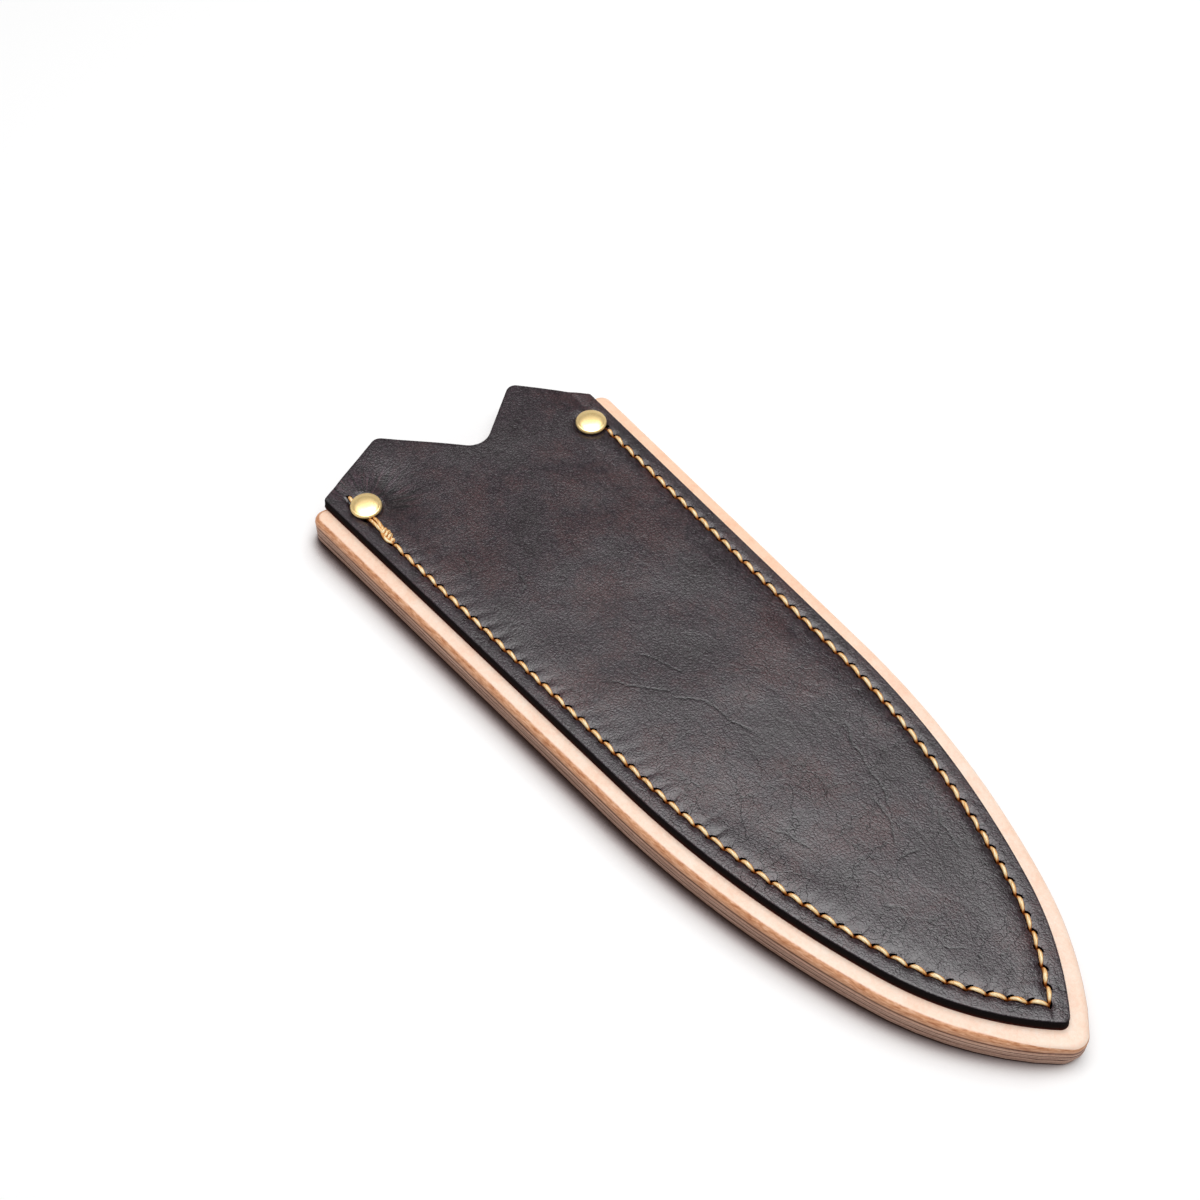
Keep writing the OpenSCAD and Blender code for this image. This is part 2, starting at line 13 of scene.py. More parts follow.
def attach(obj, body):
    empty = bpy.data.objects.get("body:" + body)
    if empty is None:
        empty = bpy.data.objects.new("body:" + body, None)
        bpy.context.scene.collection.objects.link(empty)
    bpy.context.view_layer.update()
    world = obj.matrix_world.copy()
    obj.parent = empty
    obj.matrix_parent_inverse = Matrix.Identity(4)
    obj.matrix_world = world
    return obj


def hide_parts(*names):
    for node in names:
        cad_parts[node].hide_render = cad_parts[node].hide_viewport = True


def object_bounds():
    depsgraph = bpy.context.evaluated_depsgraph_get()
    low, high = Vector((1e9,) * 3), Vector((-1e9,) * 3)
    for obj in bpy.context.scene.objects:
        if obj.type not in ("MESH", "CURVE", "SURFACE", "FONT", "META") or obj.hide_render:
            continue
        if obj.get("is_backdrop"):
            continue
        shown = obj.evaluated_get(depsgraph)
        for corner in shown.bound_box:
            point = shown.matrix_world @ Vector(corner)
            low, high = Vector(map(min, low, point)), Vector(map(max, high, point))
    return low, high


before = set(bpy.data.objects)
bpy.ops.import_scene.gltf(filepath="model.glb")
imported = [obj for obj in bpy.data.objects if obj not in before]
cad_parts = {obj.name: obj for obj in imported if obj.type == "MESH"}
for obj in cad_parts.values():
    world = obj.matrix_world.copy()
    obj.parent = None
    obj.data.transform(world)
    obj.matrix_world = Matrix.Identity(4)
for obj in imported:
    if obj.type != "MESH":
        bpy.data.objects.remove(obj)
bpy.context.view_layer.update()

# Camera: looks down on the guard from beside its tip, with the mouth at the
# upper left and the tip at the lower right of a square picture.
show = bpy.context.scene.collection.objects.link
camera_at = Vector((0.1847, -0.1734, 0.3911))
looked_at = Vector((-0.0379, -0.0016, 0.0112))
camera = bpy.data.objects.new("camera", bpy.data.cameras.new("camera"))
camera.data.sensor_width = 36
camera.data.lens = 57.563
camera.data.clip_start = 0.01
camera.location = camera_at
camera.rotation_mode = "QUATERNION"
camera.rotation_quaternion = (looked_at - camera_at).to_track_quat("-Z", "Y")
show(camera)
bpy.context.scene.camera = camera

# Front panel: dark vegetable-tanned leather about 3 mm thick, cut to a leaf
# with two ears at the mouth, its edge slicked smooth and dyed black. It is
# glued and stitched to the welt, so the seam draws it down in a valley.
Z_TOP = 11.2
# The sizes are measured from the middle of the mouth's line. MIDDLE is the
# middle of the guard's outline there, which lies at the frame's origin.
MIDDLE = np.array([91.4471, -0.58799])
# The seam's two sides start on the mouth's leaning line. Each runs straight
# and then turns towards the tip in a wide arc and a narrower one.
SEAM_SPREAD = 68.4
MOUTH_LEAN = radians(10.3)
SPINE_RUN, DROP_R, DROP_TURN, POINT_R = 94.5, 225, radians(18.4), 80
EDGE_RUN, BELLY_R, BELLY_TURN, TIP_R = 105.5, 257, radians(15.8), 74
EDGE_TAPER = radians(4.3)
ACROSS = np.array([sin(MOUTH_LEAN), cos(MOUTH_LEAN)])
BEYOND = np.array([-cos(MOUTH_LEAN), sin(MOUTH_LEAN)])
SPINE_FROM = ACROSS * SEAM_SPREAD / 2
MOST_TURN = 1.5
# A search halves its range HALVINGS times. AHEAD is a short step along a line.
HALVINGS, AHEAD = 40, 0.01


def toward(angle):
    return np.array([cos(angle), sin(angle)])


def arc_step(r, a, b):
    return r * np.array([sin(b) - sin(a), cos(a) - cos(b)])


# Each side: its start, run, both radii, first turn and taper, and the way it turns.
SPINE = SPINE_FROM, SPINE_RUN, DROP_R, POINT_R, DROP_TURN, 0.0, -1
EDGE = -SPINE_FROM, EDGE_RUN, BELLY_R, TIP_R, BELLY_TURN, EDGE_TAPER, 1


def side_turn(side, s):
    """How far a side has turned at s along it."""
    _, run, wide_r, narrow_r, first_turn, _, _ = side
    first = min(first_turn, max(0, s - run) / wide_r)
    return first + min(MOST_TURN, max(0, s - run - wide_r * first_turn) / narrow_r)


def side_at(side, s, d=0.0):
    """The place at s along a side and d outside it."""
    start, run, wide_r, narrow_r, first_turn, taper, way = side
    t = side_turn(side, s)
    steps = arc_step(wide_r, taper, taper + min(t, first_turn))
    steps = steps + arc_step(narrow_r, taper + first_turn, taper + max(t, first_turn))
    out = np.array([sin(taper + t), -cos(taper + t)])
    return start + (min(s, run) * toward(taper) + steps + d * out) * [1, way]


def past_spine(p, d):
    """Whether p lies beyond the spine side's line at offset d, and how far along that line."""
    low, high = 0.0, 260.0  # longer than either side
    for _ in range(HALVINGS):
        s = (low + high) / 2
        ahead = side_at(SPINE, s + AHEAD, d) - side_at(SPINE, s, d)
        low, high = (s, high) if (p - side_at(SPINE, s, d)) @ ahead > 0 else (low, s)
    t = side_turn(SPINE, low)
    return (p - side_at(SPINE, low, d)) @ np.array([sin(t), cos(t)]) > 0, low


def corner(d_edge, d_spine):
    """Where the two sides meet at the tip: the distance along each of them."""
    low, high = EDGE_RUN, EDGE_RUN + BELLY_R * BELLY_TURN + 1.2 * TIP_R
    for _ in range(HALVINGS):
        s = (low + high) / 2
        low, high = (low, s) if past_spine(side_at(EDGE, s, d_edge), d_spine)[0] else (s, high)
    return low, past_spine(side_at(EDGE, low, d_edge), d_spine)[1]


def unit(v):
    return v / norm(v)


def rounded(a, b, c, r, steps=8):
    """The corner b between the lines to a and c, rounded to radius r."""
    to_a, to_c = unit(a - b), unit(c - b)
    half = acos(max(-1, min(1, to_a @ to_c))) / 2
    centre = b + unit(to_a + to_c) * r / sin(half)
    start, end = b + to_a * r / tan(half) - centre, b + to_c * r / tan(half) - centre
    return [centre + r * unit(start * (steps - i) + end * i) for i in range(steps + 1)]


def side_cross(side, reach, d):
    """Where a side's straight run, d outside it, meets the line that lies reach beyond the mouth."""
    start, _, _, _, _, taper, way = side
    out = np.array([sin(taper), -cos(taper)]) * [1, way]
    level = (start + out * d) @ out
    return BEYOND * reach + ACROSS * (level - BEYOND @ out * reach) / (ACROSS @ out)


def sides(d_edge, d_spine, tip_r, steps=120):
    """Both sides and the rounded tip between them, from the edge side round to the spine side."""
    s_edge, s_spine = corner(d_edge, d_spine)
    edge = [side_at(EDGE, s, d_edge) for s in np.linspace(0, s_edge - 2 * tip_r, steps)]
    spine = [side_at(SPINE, s, d_spine) for s in np.linspace(s_spine - 2 * tip_r, 0, steps)]
    return edge + rounded(edge[-1], side_at(EDGE, s_edge, d_edge), spine[0], tip_r)[1:-1] + spine


def spaced(points, gap):
    """A closed line through these points, as points that lie gap apart."""
    ring = np.array(list(points) + [points[0]])
    along = np.concatenate([[0], np.cumsum(norm(np.diff(ring, axis=0), axis=1))])
    stops = np.linspace(0, along[-1], max(8, round(along[-1] / gap)), endpoint=False)
    return np.stack([np.interp(stops, along, ring[:, k]) for k in (0, 1)], 1)


def outward(ring):
    ahead = np.roll(ring, -1, 0) - np.roll(ring, 1, 0)
    ahead /= norm(ahead, axis=1)[:, None]
    return np.stack([ahead[:, 1], -ahead[:, 0]], 1)


# The panel's outline lies PANEL_D outside the seam. Its shoulders, ears and
# notch are measured beyond the mouth's line, and the ears and notch across it.
PANEL_D = 4.2
SPINE_SHOULDER_REACH, EDGE_SHOULDER_REACH = 9.3, 8.1
PANEL_TIP_R, SHOULDER_R, EAR_R, NOTCH_R = 1.8, 0.8, 2.6, 5.6
PANEL_LINE_GAP = 0.55
spine_shoulder = side_cross(SPINE, SPINE_SHOULDER_REACH, PANEL_D)
edge_shoulder = side_cross(EDGE, EDGE_SHOULDER_REACH, PANEL_D)
spine_ear, edge_ear = BEYOND * 22.1 + ACROSS * 18.6, BEYOND * 21.3 - ACROSS * 20.7
notch = BEYOND * 5.1 + ACROSS * 3.4
panel_sides = sides(PANEL_D, PANEL_D, PANEL_TIP_R)
panel_outline = spaced(
    rounded(edge_ear, edge_shoulder, panel_sides[0], SHOULDER_R)
    + panel_sides
    + rounded(panel_sides[-1], spine_shoulder, spine_ear, SHOULDER_R)
    + rounded(spine_shoulder, spine_ear, notch, EAR_R)
    + rounded(spine_ear, notch, edge_ear, NOTCH_R)
    + rounded(notch, edge_ear, edge_shoulder, EAR_R),
    PANEL_LINE_GAP,
)

# The seam as a measuring line: g runs from the edge side's mouth round the
# tip to the spine side's mouth, and d is the offset outwards from it.
EDGE_CORNER, SPINE_CORNER = corner(0, 0)
LAST_G = EDGE_CORNER + SPINE_CORNER
EDGE_START, LOCK_REACH, SPINE_START = 5.2, 5.6, 2.7
STITCH_PITCH, RIVET_INSET = 4.38, 2.2
EDGE_STITCHES = round((EDGE_CORNER - EDGE_START) / STITCH_PITCH)
SPINE_STITCHES = round((SPINE_CORNER - SPINE_START) / STITCH_PITCH)
SPINE_STITCHES += (EDGE_STITCHES + SPINE_STITCHES + 1) % 2
EDGE_PITCH = (EDGE_CORNER - EDGE_START) / EDGE_STITCHES
SPINE_PITCH = (SPINE_CORNER - SPINE_START) / SPINE_STITCHES


def seam_heading(g):
    if g <= EDGE_CORNER:
        return EDGE_TAPER + side_turn(EDGE, g)
    return pi - side_turn(SPINE, LAST_G - g)


def seam_at(g, d=0.0):
    return side_at(EDGE, g, d) if g <= EDGE_CORNER else side_at(SPINE, LAST_G - g, d)


slit_g = [-LOCK_REACH] + [EDGE_START + i * EDGE_PITCH for i in range(EDGE_STITCHES)]
slit_g += [EDGE_CORNER] + [EDGE_CORNER + i * SPINE_PITCH for i in range(1, SPINE_STITCHES + 1)]
slits = [(seam_at(g), seam_heading(g)) for g in slit_g]
corner_slit = EDGE_STITCHES + 1
slits[corner_slit] = (
    slits[corner_slit][0],
    (seam_heading(EDGE_CORNER) + seam_heading(EDGE_CORNER + AHEAD)) / 2,
)
rivets = [side_at(EDGE, 0, -RIVET_INSET), side_at(SPINE, 0, -RIVET_INSET)]
PAST_MOUTH = 24
seam_line = np.arange(-PAST_MOUTH, LAST_G + PAST_MOUTH, 0.25)
seam_points = np.array([seam_at(g) for g in seam_line])
seam_ways = np.array([toward(seam_heading(g)) for g in seam_line])


def finder(points):
    tree = KDTree(len(points))
    for index, p in enumerate(points):
        tree.insert((p[0], p[1], 0), index)
    tree.balance()
    return tree


seam_finder = finder(seam_points)


def seam_place(points):
    """The seam coordinates g and d of each point."""
    near = np.array([seam_finder.find((p[0], p[1], 0))[1] for p in points])
    away = np.asarray(points)[:, :2] - seam_points[near]
    ways = seam_ways[near]
    along = (away * ways).sum(1)
    return seam_line[near] + along, away[:, 0] * ways[:, 1] - away[:, 1] * ways[:, 0]


def wander(points, size, seed):
    """Smooth noise from -1 to 1, with features of about this size in mm."""
    return np.array([noise.noise(Vector((p[0] / size, p[1] / size, seed * 7.31))) for p in points])


def smooth(x, low, high):
    t = np.clip((x - low) / (high - low), 0, 1)
    return t * t * (3 - 2 * t)


# The slits are punched slanting across the seam, with pointed ends.
SLIT_ANGLE, SLIT_POINTED = radians(44), 0.4


def along_slit(i, reach):
    """The place that lies reach past the middle of slit i, along the slit."""
    place, heading = slits[i]
    return place + reach * toward(heading + SLIT_ANGLE)


def slit_outline(place, heading, half_l, half_w, steps=12):
    """A slit as a ring of points, with pointed ends."""
    way = toward(heading + SLIT_ANGLE)
    ring = []
    for k in range(steps):
        x, y = toward(2 * pi * k / steps) * [half_l, half_w]
        y *= abs(y / half_w) ** SLIT_POINTED
        ring.append(place + x * way + y * np.array([-way[1], way[0]]))
    return np.array(ring)


def circle(place, r, steps=32):
    return np.array([place + r * toward(2 * pi * k / steps) for k in range(steps)])


def inside(points, ring):
    """Which points lie inside a closed ring."""
    x, y = points[:, 0], points[:, 1]
    found = np.zeros(len(points), bool)
    for a, b in zip(ring, np.roll(ring, -1, 0)):
        if a[1] != b[1]:
            reaches = a[0] + (b[0] - a[0]) * (y - a[1]) / (b[1] - a[1])
            found ^= ((a[1] > y) != (b[1] > y)) & (x < reaches)
    return found


def field(outline, holes, fine_gap, skip_at):
    """Points spread in rows inside an outline, clear of it and of its holes.

    skip_at says at each place how many of the fine gaps lie between points.
    """
    low, high = outline.min(0), outline.max(0)
    rows = []
    for j, y in enumerate(np.arange(low[1], high[1], fine_gap * 0.866)):
        xs = np.arange(low[0] + (j % 2) * fine_gap / 2, high[0], fine_gap)
        rows += [(x, y, i, j) for i, x in enumerate(xs)]
    rows = np.array(rows)
    rows = rows[inside(rows, outline)]
    skip = skip_at(rows[:, :2])
    points = rows[(rows[:, 2] % skip == 0) & (rows[:, 3] % skip == 0), :2]
    walls = finder(np.concatenate([outline] + list(holes)))
    points = points[np.array([walls.find((*p, 0))[2] for p in points]) > fine_gap * 0.6]
    for hole in holes:
        points = points[~inside(points, hole)]
    return points


def face_sheet(outline, holes, points):
    """Triangles that fill an outline, apart from its holes."""
    coords, edges, loop_of = [], [], []
    for n, loop in enumerate([outline] + list(holes)):
        first = len(coords)
        coords += [tuple(p) for p in loop]
        edges += [(first + k, first + (k + 1) % len(loop)) for k in range(len(loop))]
        loop_of += [n] * len(loop)
    coords += [tuple(p) for p in points]
    loop_of += [-1] * len(points)
    made = delaunay_2d_cdt([Vector(c) for c in coords], edges, [], 1, 1e-6, True)
    source = [ids[0] if ids else -1 for ids in made[3]]
    coords = np.array(coords)
    faces = np.array([[source[v] for v in f] for f in made[2]])
    loops = np.array(loop_of)[faces]
    spans_hole = (loops.min(1) == loops.max(1)) & (loops[:, 0] > 0)
    faces = faces[~spans_hole & inside(coords[faces].mean(1), outline)]
    return coords, faces.tolist()


def slab(outline, profile, holes, points, ring_share=None):
    """A flat piece: rings of (inset, height) from the underside to the top, with upright holes.

    ring_share says how much of the insets each point of the outline takes.
    """
    normals = outward(outline)
    share = np.ones(len(outline)) if ring_share is None else ring_share
    rings = [outline - normals * (inset * share)[:, None] for inset, _ in profile]
    n = len(outline)
    top_coords, top_faces = face_sheet(rings[-1], holes, points)
    low_coords, low_faces = face_sheet(rings[0], holes, np.zeros((0, 2)))
    verts = [np.column_stack([low_coords, np.full(len(low_coords), profile[0][1])])]
    faces = [f[::-1] for f in low_faces]
    offset = len(low_coords)
    bases = [0]
    for ring, (_, z) in list(zip(rings, profile))[1:-1]:
        verts.append(np.column_stack([ring, np.full(n, z)]))
        bases.append(offset)
        offset += n
    verts.append(np.column_stack([top_coords, np.full(len(top_coords), profile[-1][1])]))
    bases.append(offset)
    faces += [[v + offset for v in f] for f in top_faces]
    for low, high in zip(bases, bases[1:]):
        faces += [[low + k, low + (k + 1) % n, high + (k + 1) % n, high + k] for k in range(n)]
    start = n
    for hole in holes:
        m = len(hole)
        faces += [
            [start + (k + 1) % m, start + k, offset + start + k, offset + start + (k + 1) % m]
            for k in range(m)
        ]
        start += m
    return np.concatenate(verts), faces


def make_mesh(name, verts, faces, material, creased=50):
    """A Blender mesh in metres, in the guard's own frame, shaded smooth up to the angle given as
    creased.
    """
    placed = (np.asarray(verts, float) - [MIDDLE[0], MIDDLE[1], 0]) / 1000
    mesh = bpy.data.meshes.new(name)
    mesh.from_pydata(placed.tolist(), [], [list(map(int, f)) for f in faces])
    mesh.shade_smooth()
    mesh.set_sharp_from_angle(angle=radians(creased))
    mesh.materials.append(material)
    piece = bpy.data.objects.new(name, mesh)
    show(piece)
    return piece


def keep_values(piece, name, values):
    """Keeps one number per vertex with the mesh, for its material to read."""
    kept = piece.data.attributes.new(name, "FLOAT", "POINT")
    kept.data.foreach_set("value", np.array(values, np.float32))


def linear(code):
    """A colour written as sRGB hex, as Blender's linear numbers."""
    parts = [int(code[i:i + 2], 16) / 255 for i in (1, 3, 5)]
    return [c / 12.92 if c <= 0.04045 else ((c + 0.055) / 1.055) ** 2.4 for c in parts] + [1]


# What a setting given as text sets, where it isn't a node's operation.
TEXT_SETS = {"MapRange": "interpolation_type", "Mix": "data_type",
             "TexVoronoi": "feature", "Attribute": "attribute_name"}
MULTIPLIED = {"data_type": "RGBA", "blend_type": "MULTIPLY"}


def add(tree, kind, *values, **links):
    """Adds a node. The first value may be its settings: by name, a ramp's stops, or one text.

    The others go to its first sockets in turn: a MapRange takes its value, its range
    and the range it is turned into. A link's name is a socket's name, or i and its
    number: a colour mix has its colours at i6 and i7, and its result at outputs[2].
    A value is a number, a colour, a socket, or a node that gives its first output.
    """
    node = tree.nodes.new("ShaderNode" + kind)
    settings = {}
    if values and isinstance(values[0], (str, list, dict)):
        settings, *values = values
    if isinstance(settings, str):
        settings = {TEXT_SETS.get(kind, "operation"): settings}
    if isinstance(settings, list):
        stops = node.color_ramp.elements
        while len(stops) < len(settings):
            stops.new(0.5)
        for stop, (at, colour) in zip(stops, settings):
            stop.position, stop.color = at, linear(colour)
        settings = {}
    for key, value in settings.items():
        setattr(node, key, value)
    links.update({f"i{number}": value for number, value in enumerate(values)})
    for key, value in links.items():
        key = key.replace("_", " ")
        socket = node.inputs[int(key[1:])] if key[1:].isdigit() else node.inputs[key]
        if isinstance(value, bpy.types.Node):
            value = value.outputs[0]
        if isinstance(value, bpy.types.NodeSocket):
            tree.links.new(value, socket)
        else:
            socket.default_value = value
    return node


def new_material(name):
    material = bpy.data.materials.new(name)
    material.use_nodes = True
    material.node_tree.nodes.clear()
    return material, material.node_tree


def in_mm(tree):
    """The place on the piece in millimetres, which every pattern is laid out in."""
    place = add(tree, "TexCoord").outputs["Object"]
    return add(tree, "VectorMath", "SCALE", place, Scale=1000.0)


# Vegetable-tanned leather, dyed nearly black over red-brown and rubbed with
# wax. The eye gets reddish and grey patches, a fine pebble grain (a little
# coarser than real, so that it shows), hair-thin creases towards the tip, and
# pull lines round the rivet on the edge side.
dark_leather, t = new_material("dyed_bridle_leather")
mm = in_mm(t)
swirl = add(t, "TexNoise", mm, Scale=1 / 0.9)
pebbled = add(t, "VectorMath", "MULTIPLY_ADD", swirl.outputs["Color"], (0.7, 0.7, 0.7), mm)
pebbles = add(t, "TexVoronoi", "DISTANCE_TO_EDGE", pebbled, Scale=1 / 0.85)
pebble = add(t, "MapRange", "SMOOTHSTEP", pebbles, 0.0, 0.24)
fuzz = add(t, "TexNoise", mm, Scale=1 / 0.45, Roughness=0.6)
mottle = add(t, "TexNoise", mm, Scale=1 / 2.6, Detail=4.0, Roughness=0.65)
patches = add(t, "TexNoise", mm, Scale=1 / 15, Detail=4.0, Roughness=0.55)
flow = add(t, "Mapping", mm, Rotation=(0, 0, radians(-52)), Scale=(1 / 8, 1 / 4, 1))
folds = add(t, "TexNoise", flow, Scale=1.0, Detail=5.0, Roughness=0.6, Distortion=1.2)

# The hair-thin creases: edges of bent cells about 10 and 4 mm wide, in patches that grow denser
# towards the tip. They are a shallow bump, and the colour is painted darker along them, as shade in
# the creases.
bend = add(t, "TexNoise", mm, Scale=1 / 6, Detail=3.0, Roughness=0.6)
bent = add(t, "VectorMath", "MULTIPLY_ADD", bend.outputs["Color"], (7, 7, 7), mm)
along_x = add(t, "SeparateXYZ", mm).outputs["X"]
worn = add(t, "MapRange", "SMOOTHSTEP", along_x, -45.0, 45.0, 0.12, 1.0)
lines = []
for cell, thin, low, high in ((10.5, 0.020, 0.44, 0.54), (4.2, 0.034, 0.48, 0.60)):
    cells = add(t, "TexVoronoi", "DISTANCE_TO_EDGE", bent, Scale=1 / cell)
    line = add(t, "MapRange", "SMOOTHSTEP", cells, 0.0, thin, 1.0, 0.0)
    where = add(t, "TexNoise", mm, Scale=1 / (cell * 1.7))
    shown = add(t, "MapRange", "SMOOTHSTEP", where, low, high)
    kept = add(t, "Math", "MULTIPLY", line, shown)
    lines.append(add(t, "Math", "MULTIPLY", kept, worn))
crease = add(t, "Math", "MAXIMUM", lines[0], lines[1])
# The mesh gives its deep creases and the hollow by the rivet, for the bump and for a painted shade in
# the colour.
cut_creases_and_hollow_shade = add(t, "Attribute", "crease").outputs["Fac"]
crease = add(t, "Math", "MAXIMUM", crease, cut_creases_and_hollow_shade)

# Pull lines fan out from the rivet on the edge side towards the mouth, about a millimetre apart, and
# fade within 20 mm. They are a bump, and they are also painted into the colour as light and dark
# streaks: a painted sheen and a painted shade.
edge_rivet = rivets[0] - MIDDLE
from_rivet = add(t, "VectorMath", "SUBTRACT", mm, (edge_rivet[0], edge_rivet[1], Z_TOP))
parts = add(t, "SeparateXYZ", from_rivet)
swing = add(t, "Math", "ARCTAN2", parts.outputs["Y"], parts.outputs["X"])
flat = add(t, "VectorMath", "MULTIPLY", from_rivet, (1, 1, 0))
away = add(t, "VectorMath", "LENGTH", flat).outputs["Value"]
fan = add(t, "CombineXYZ", X=swing, Y=away)
fan = add(t, "VectorMath", "MULTIPLY", fan, (16.0, 0.14, 0))
pulls = add(t, "TexNoise", fan, Scale=1.0, Detail=1.0)
near_rivet = add(t, "MapRange", "SMOOTHSTEP", away, 20.0, 6.0)
mouthward = add(t, "VectorMath", "DOT_PRODUCT", from_rivet, (-0.79, 0.61, 0)).outputs["Value"]
open_side = add(t, "MapRange", "SMOOTHSTEP", mouthward, -3.0, 4.0, 0.15, 1.0)
by_rivet = add(t, "Math", "MULTIPLY", near_rivet, open_side)
pull = add(t, "Math", "MULTIPLY", pulls, by_rivet)

tone = add(t, "Mix", 0.3, i2=patches, i3=mottle)
colour = add(t, "ValToRGB", [
    (0.40, "#261B20"), (0.48, "#2D2027"), (0.54, "#352328"), (0.62, "#3E2629")], tone)
# Painted shade: the base colour darkens in the furrows between the grain's pebbles.
shade = add(t, "Math", "MULTIPLY_ADD", pebble, 0.62, 0.40)
# Painted shade: the colour darkens along the creases and in the hollow by the rivet.
painted_crease_and_hollow_shade = add(t, "Math", "MULTIPLY_ADD", crease, -0.85, 1.0)
shade = add(t, "Math", "MULTIPLY", shade, painted_crease_and_hollow_shade)
# Painted sheen and shade: light and dark streaks along the pull lines.
pull_sheen_and_shade = add(t, "Math", "SUBTRACT", pulls, 0.5)
pull_sheen_and_shade = add(t, "Math", "MULTIPLY", pull_sheen_and_shade, by_rivet)
shade = add(t, "Math", "MULTIPLY_ADD", pull_sheen_and_shade, 6.0, shade)
shade = add(t, "Math", "MAXIMUM", shade, 0.15)
shaded = add(t, "VectorMath", "SCALE", colour, Scale=shade)

# Heights in millimetres, added up for one bump.
relief = 0.0
for source, depth in ((pebble, 0.022), (fuzz, 0.035), (mottle, 0.05),
                      (folds, 0.12), (crease, -0.030), (pull, 0.08)):
    relief = add(t, "Math", "MULTIPLY_ADD", source, depth, relief)
bump = add(t, "Bump", Strength=1.0, Distance=0.001, Height=relief)
rough = add(t, "MapRange", "LINEAR", mottle, 0.3, 0.7, 0.27, 0.35)
shader = add(t, "BsdfPrincipled", shaded, Roughness=rough, Normal=bump,
             Specular_IOR_Level=0.44)
add(t, "OutputMaterial", shader)

# The panel's cut edge: dyed black and rubbed smooth. The dye thins out over
# the lowest millimetre, where red-brown fibre shows.
slicked_edge, t = new_material("slicked_black_edge")
mm = in_mm(t)
ragged = add(t, "TexNoise", mm, Scale=1 / 1.3, Detail=4.0, Roughness=0.65)
height = add(t, "SeparateXYZ", mm).outputs["Z"]
level = add(t, "Math", "MULTIPLY_ADD", ragged, -0.9, height)
share = add(t, "MapRange", "LINEAR", level, 7.4, 10.8)
colour = add(t, "ValToRGB", [
    (0.0, "#6A3020"), (0.12, "#401B13"), (0.28, "#190E0D"),
    (0.6, "#0E0A0B"), (1.0, "#120E10")], share)
bump = add(t, "Bump", Strength=0.6, Distance=0.0002, Height=ragged)
shader = add(t, "BsdfPrincipled", colour, Roughness=0.85, Normal=bump,
             Specular_IOR_Level=0.04)
add(t, "OutputMaterial", shader)

# The first slit is small and lies beside the cap. The lock covers the next
# two, which the panel's mesh leaves out. The others are pulled wide by the
# thread, and towards the side that the stitch leaves on.
LOCK_COVERS = 3
PANEL_SLIT, SLIT_PULL, SLIT_SIDES = (1.4, 0.66), 0.15, 14
panel_slits = [slit_outline(seam_at(-5.75, -1.05), seam_heading(0), 0.8, 0.45, SLIT_SIDES)]
for i in range(LOCK_COVERS, len(slits)):
    shift = SLIT_PULL if i <= corner_slit else -SLIT_PULL
    panel_slits.append(slit_outline(along_slit(i, shift), slits[i][1], *PANEL_SLIT, SLIT_SIDES))
POST_HOLE_R = 1.4
post_holes = [circle(p, POST_HOLE_R) for p in rivets]
# The wall from the underside up, as (inset, height): the foot is pressed out a
# little, and the top edge is slicked to a soft round.
panel_profile = [
    (-0.26, 8.0), (-0.30, 8.12), (-0.22, 8.5), (-0.12, 9.1), (-0.06, 9.8), (-0.03, 10.5),
    (0.02, 10.82), (0.10, 11.01), (0.22, 11.13), (0.38, 11.185), (0.55, 11.2),
]

# Creases deep enough to have a shape of their own, as lines through points.
deep_creases = [np.array(line).reshape(-1, 2) for line in (
    (70.6, -5.6, 76.0, -2.5, 79.4, -1.2, 81.8, -0.6, 84.8, 1.9),
    (71.3, -16.7, 75.6, -14.4, 80.0, -10.6, 83.3, -7.5, 86.5, -4.0),
    (85.0, -8.5, 87.9, -5.4, 92.3, -1.0, 95.6, -0.1, 99.5, 0.2, 104.7, 2.2, 108.2, 2.8,
     111.3, 2.8),
    (113.2, 21.3, 118.3, 21.3, 121.8, 19.1, 126.4, 18.5, 131.2, 16.9, 135.8, 16.4, 139.3, 14.6,
     144.8, 13.0),
    (132.9, 12.7, 136.8, 12.7, 143.8, 11.7, 147.6, 9.1, 151.5, 8.1),
    (151.4, 5.5, 152.1, 10.2, 153.1, 13.8),
    (125.6, -12.0, 129.7, -10.4, 131.9, -8.8, 136.6, -7.6, 141.2, -6.5),
    (146.4, 23.8, 150.7, 20.6, 155.1, 20.1, 159.5, 18.5),
    (157.9, -4.0, 160.8, -1.4, 163.0, -1.0),
    (172.6, -1.2, 175.1, 0.9, 176.5, 3.9),
    (30.3, -10.5, 34.6, -13.2, 39.0, -14.3, 41.2, -16.8),
    (20.3, -20.6, 25.6, -21.9, 29.1, -24.4),
)]


def crease_place(points):
    """Each point's distance to the nearest of the deep creases, and how strong that is there."""
    points = np.asarray(points)[:, :2]
    points = points + 0.45 * np.stack([wander(points, 2.2, 51), wander(points, 2.2, 52)], 1)
    nearest, strength = np.full(len(points), 99.0), np.zeros(len(points))
    for line in deep_creases:
        lengths = norm(np.diff(line, axis=0), axis=1)
        total, passed = lengths.sum(), 0.0
        for a, b, length in zip(line, line[1:], lengths):
            way = (b - a) / length
            run = np.clip((points - a) @ way, 0, length)
            distance = norm(points - a - run[:, None] * way, axis=1)
            share = (passed + run) / total
            closer = distance < nearest
            nearest[closer] = distance[closer]
            strength[closer] = (smooth(share, 0, 0.25) * smooth(1 - share, 0, 0.25))[closer]
            passed += length
    return nearest, strength


# A shallow hollow beside the rivet on the edge side, as middle and radii. The shade that gathers in
# its corner is also painted darker into the colour, as a mark with its own middle and radii.
HOLLOW_DEPTH = (-6.6, -22.4), (9.5, 6.0)
HOLLOW_SHADE = (-4.4, -24.6), (5.5, 4.0)


def dimple(points, where):
    """A soft oval, from 1 in its middle to nothing outside."""
    middle, radii = where
    return np.exp(-np.sum(((points[:, :2] - middle) / radii) ** 2, axis=1))


def from_place(points, place):
    return np.hypot(points[:, 0] - place[0], points[:, 1] - place[1])


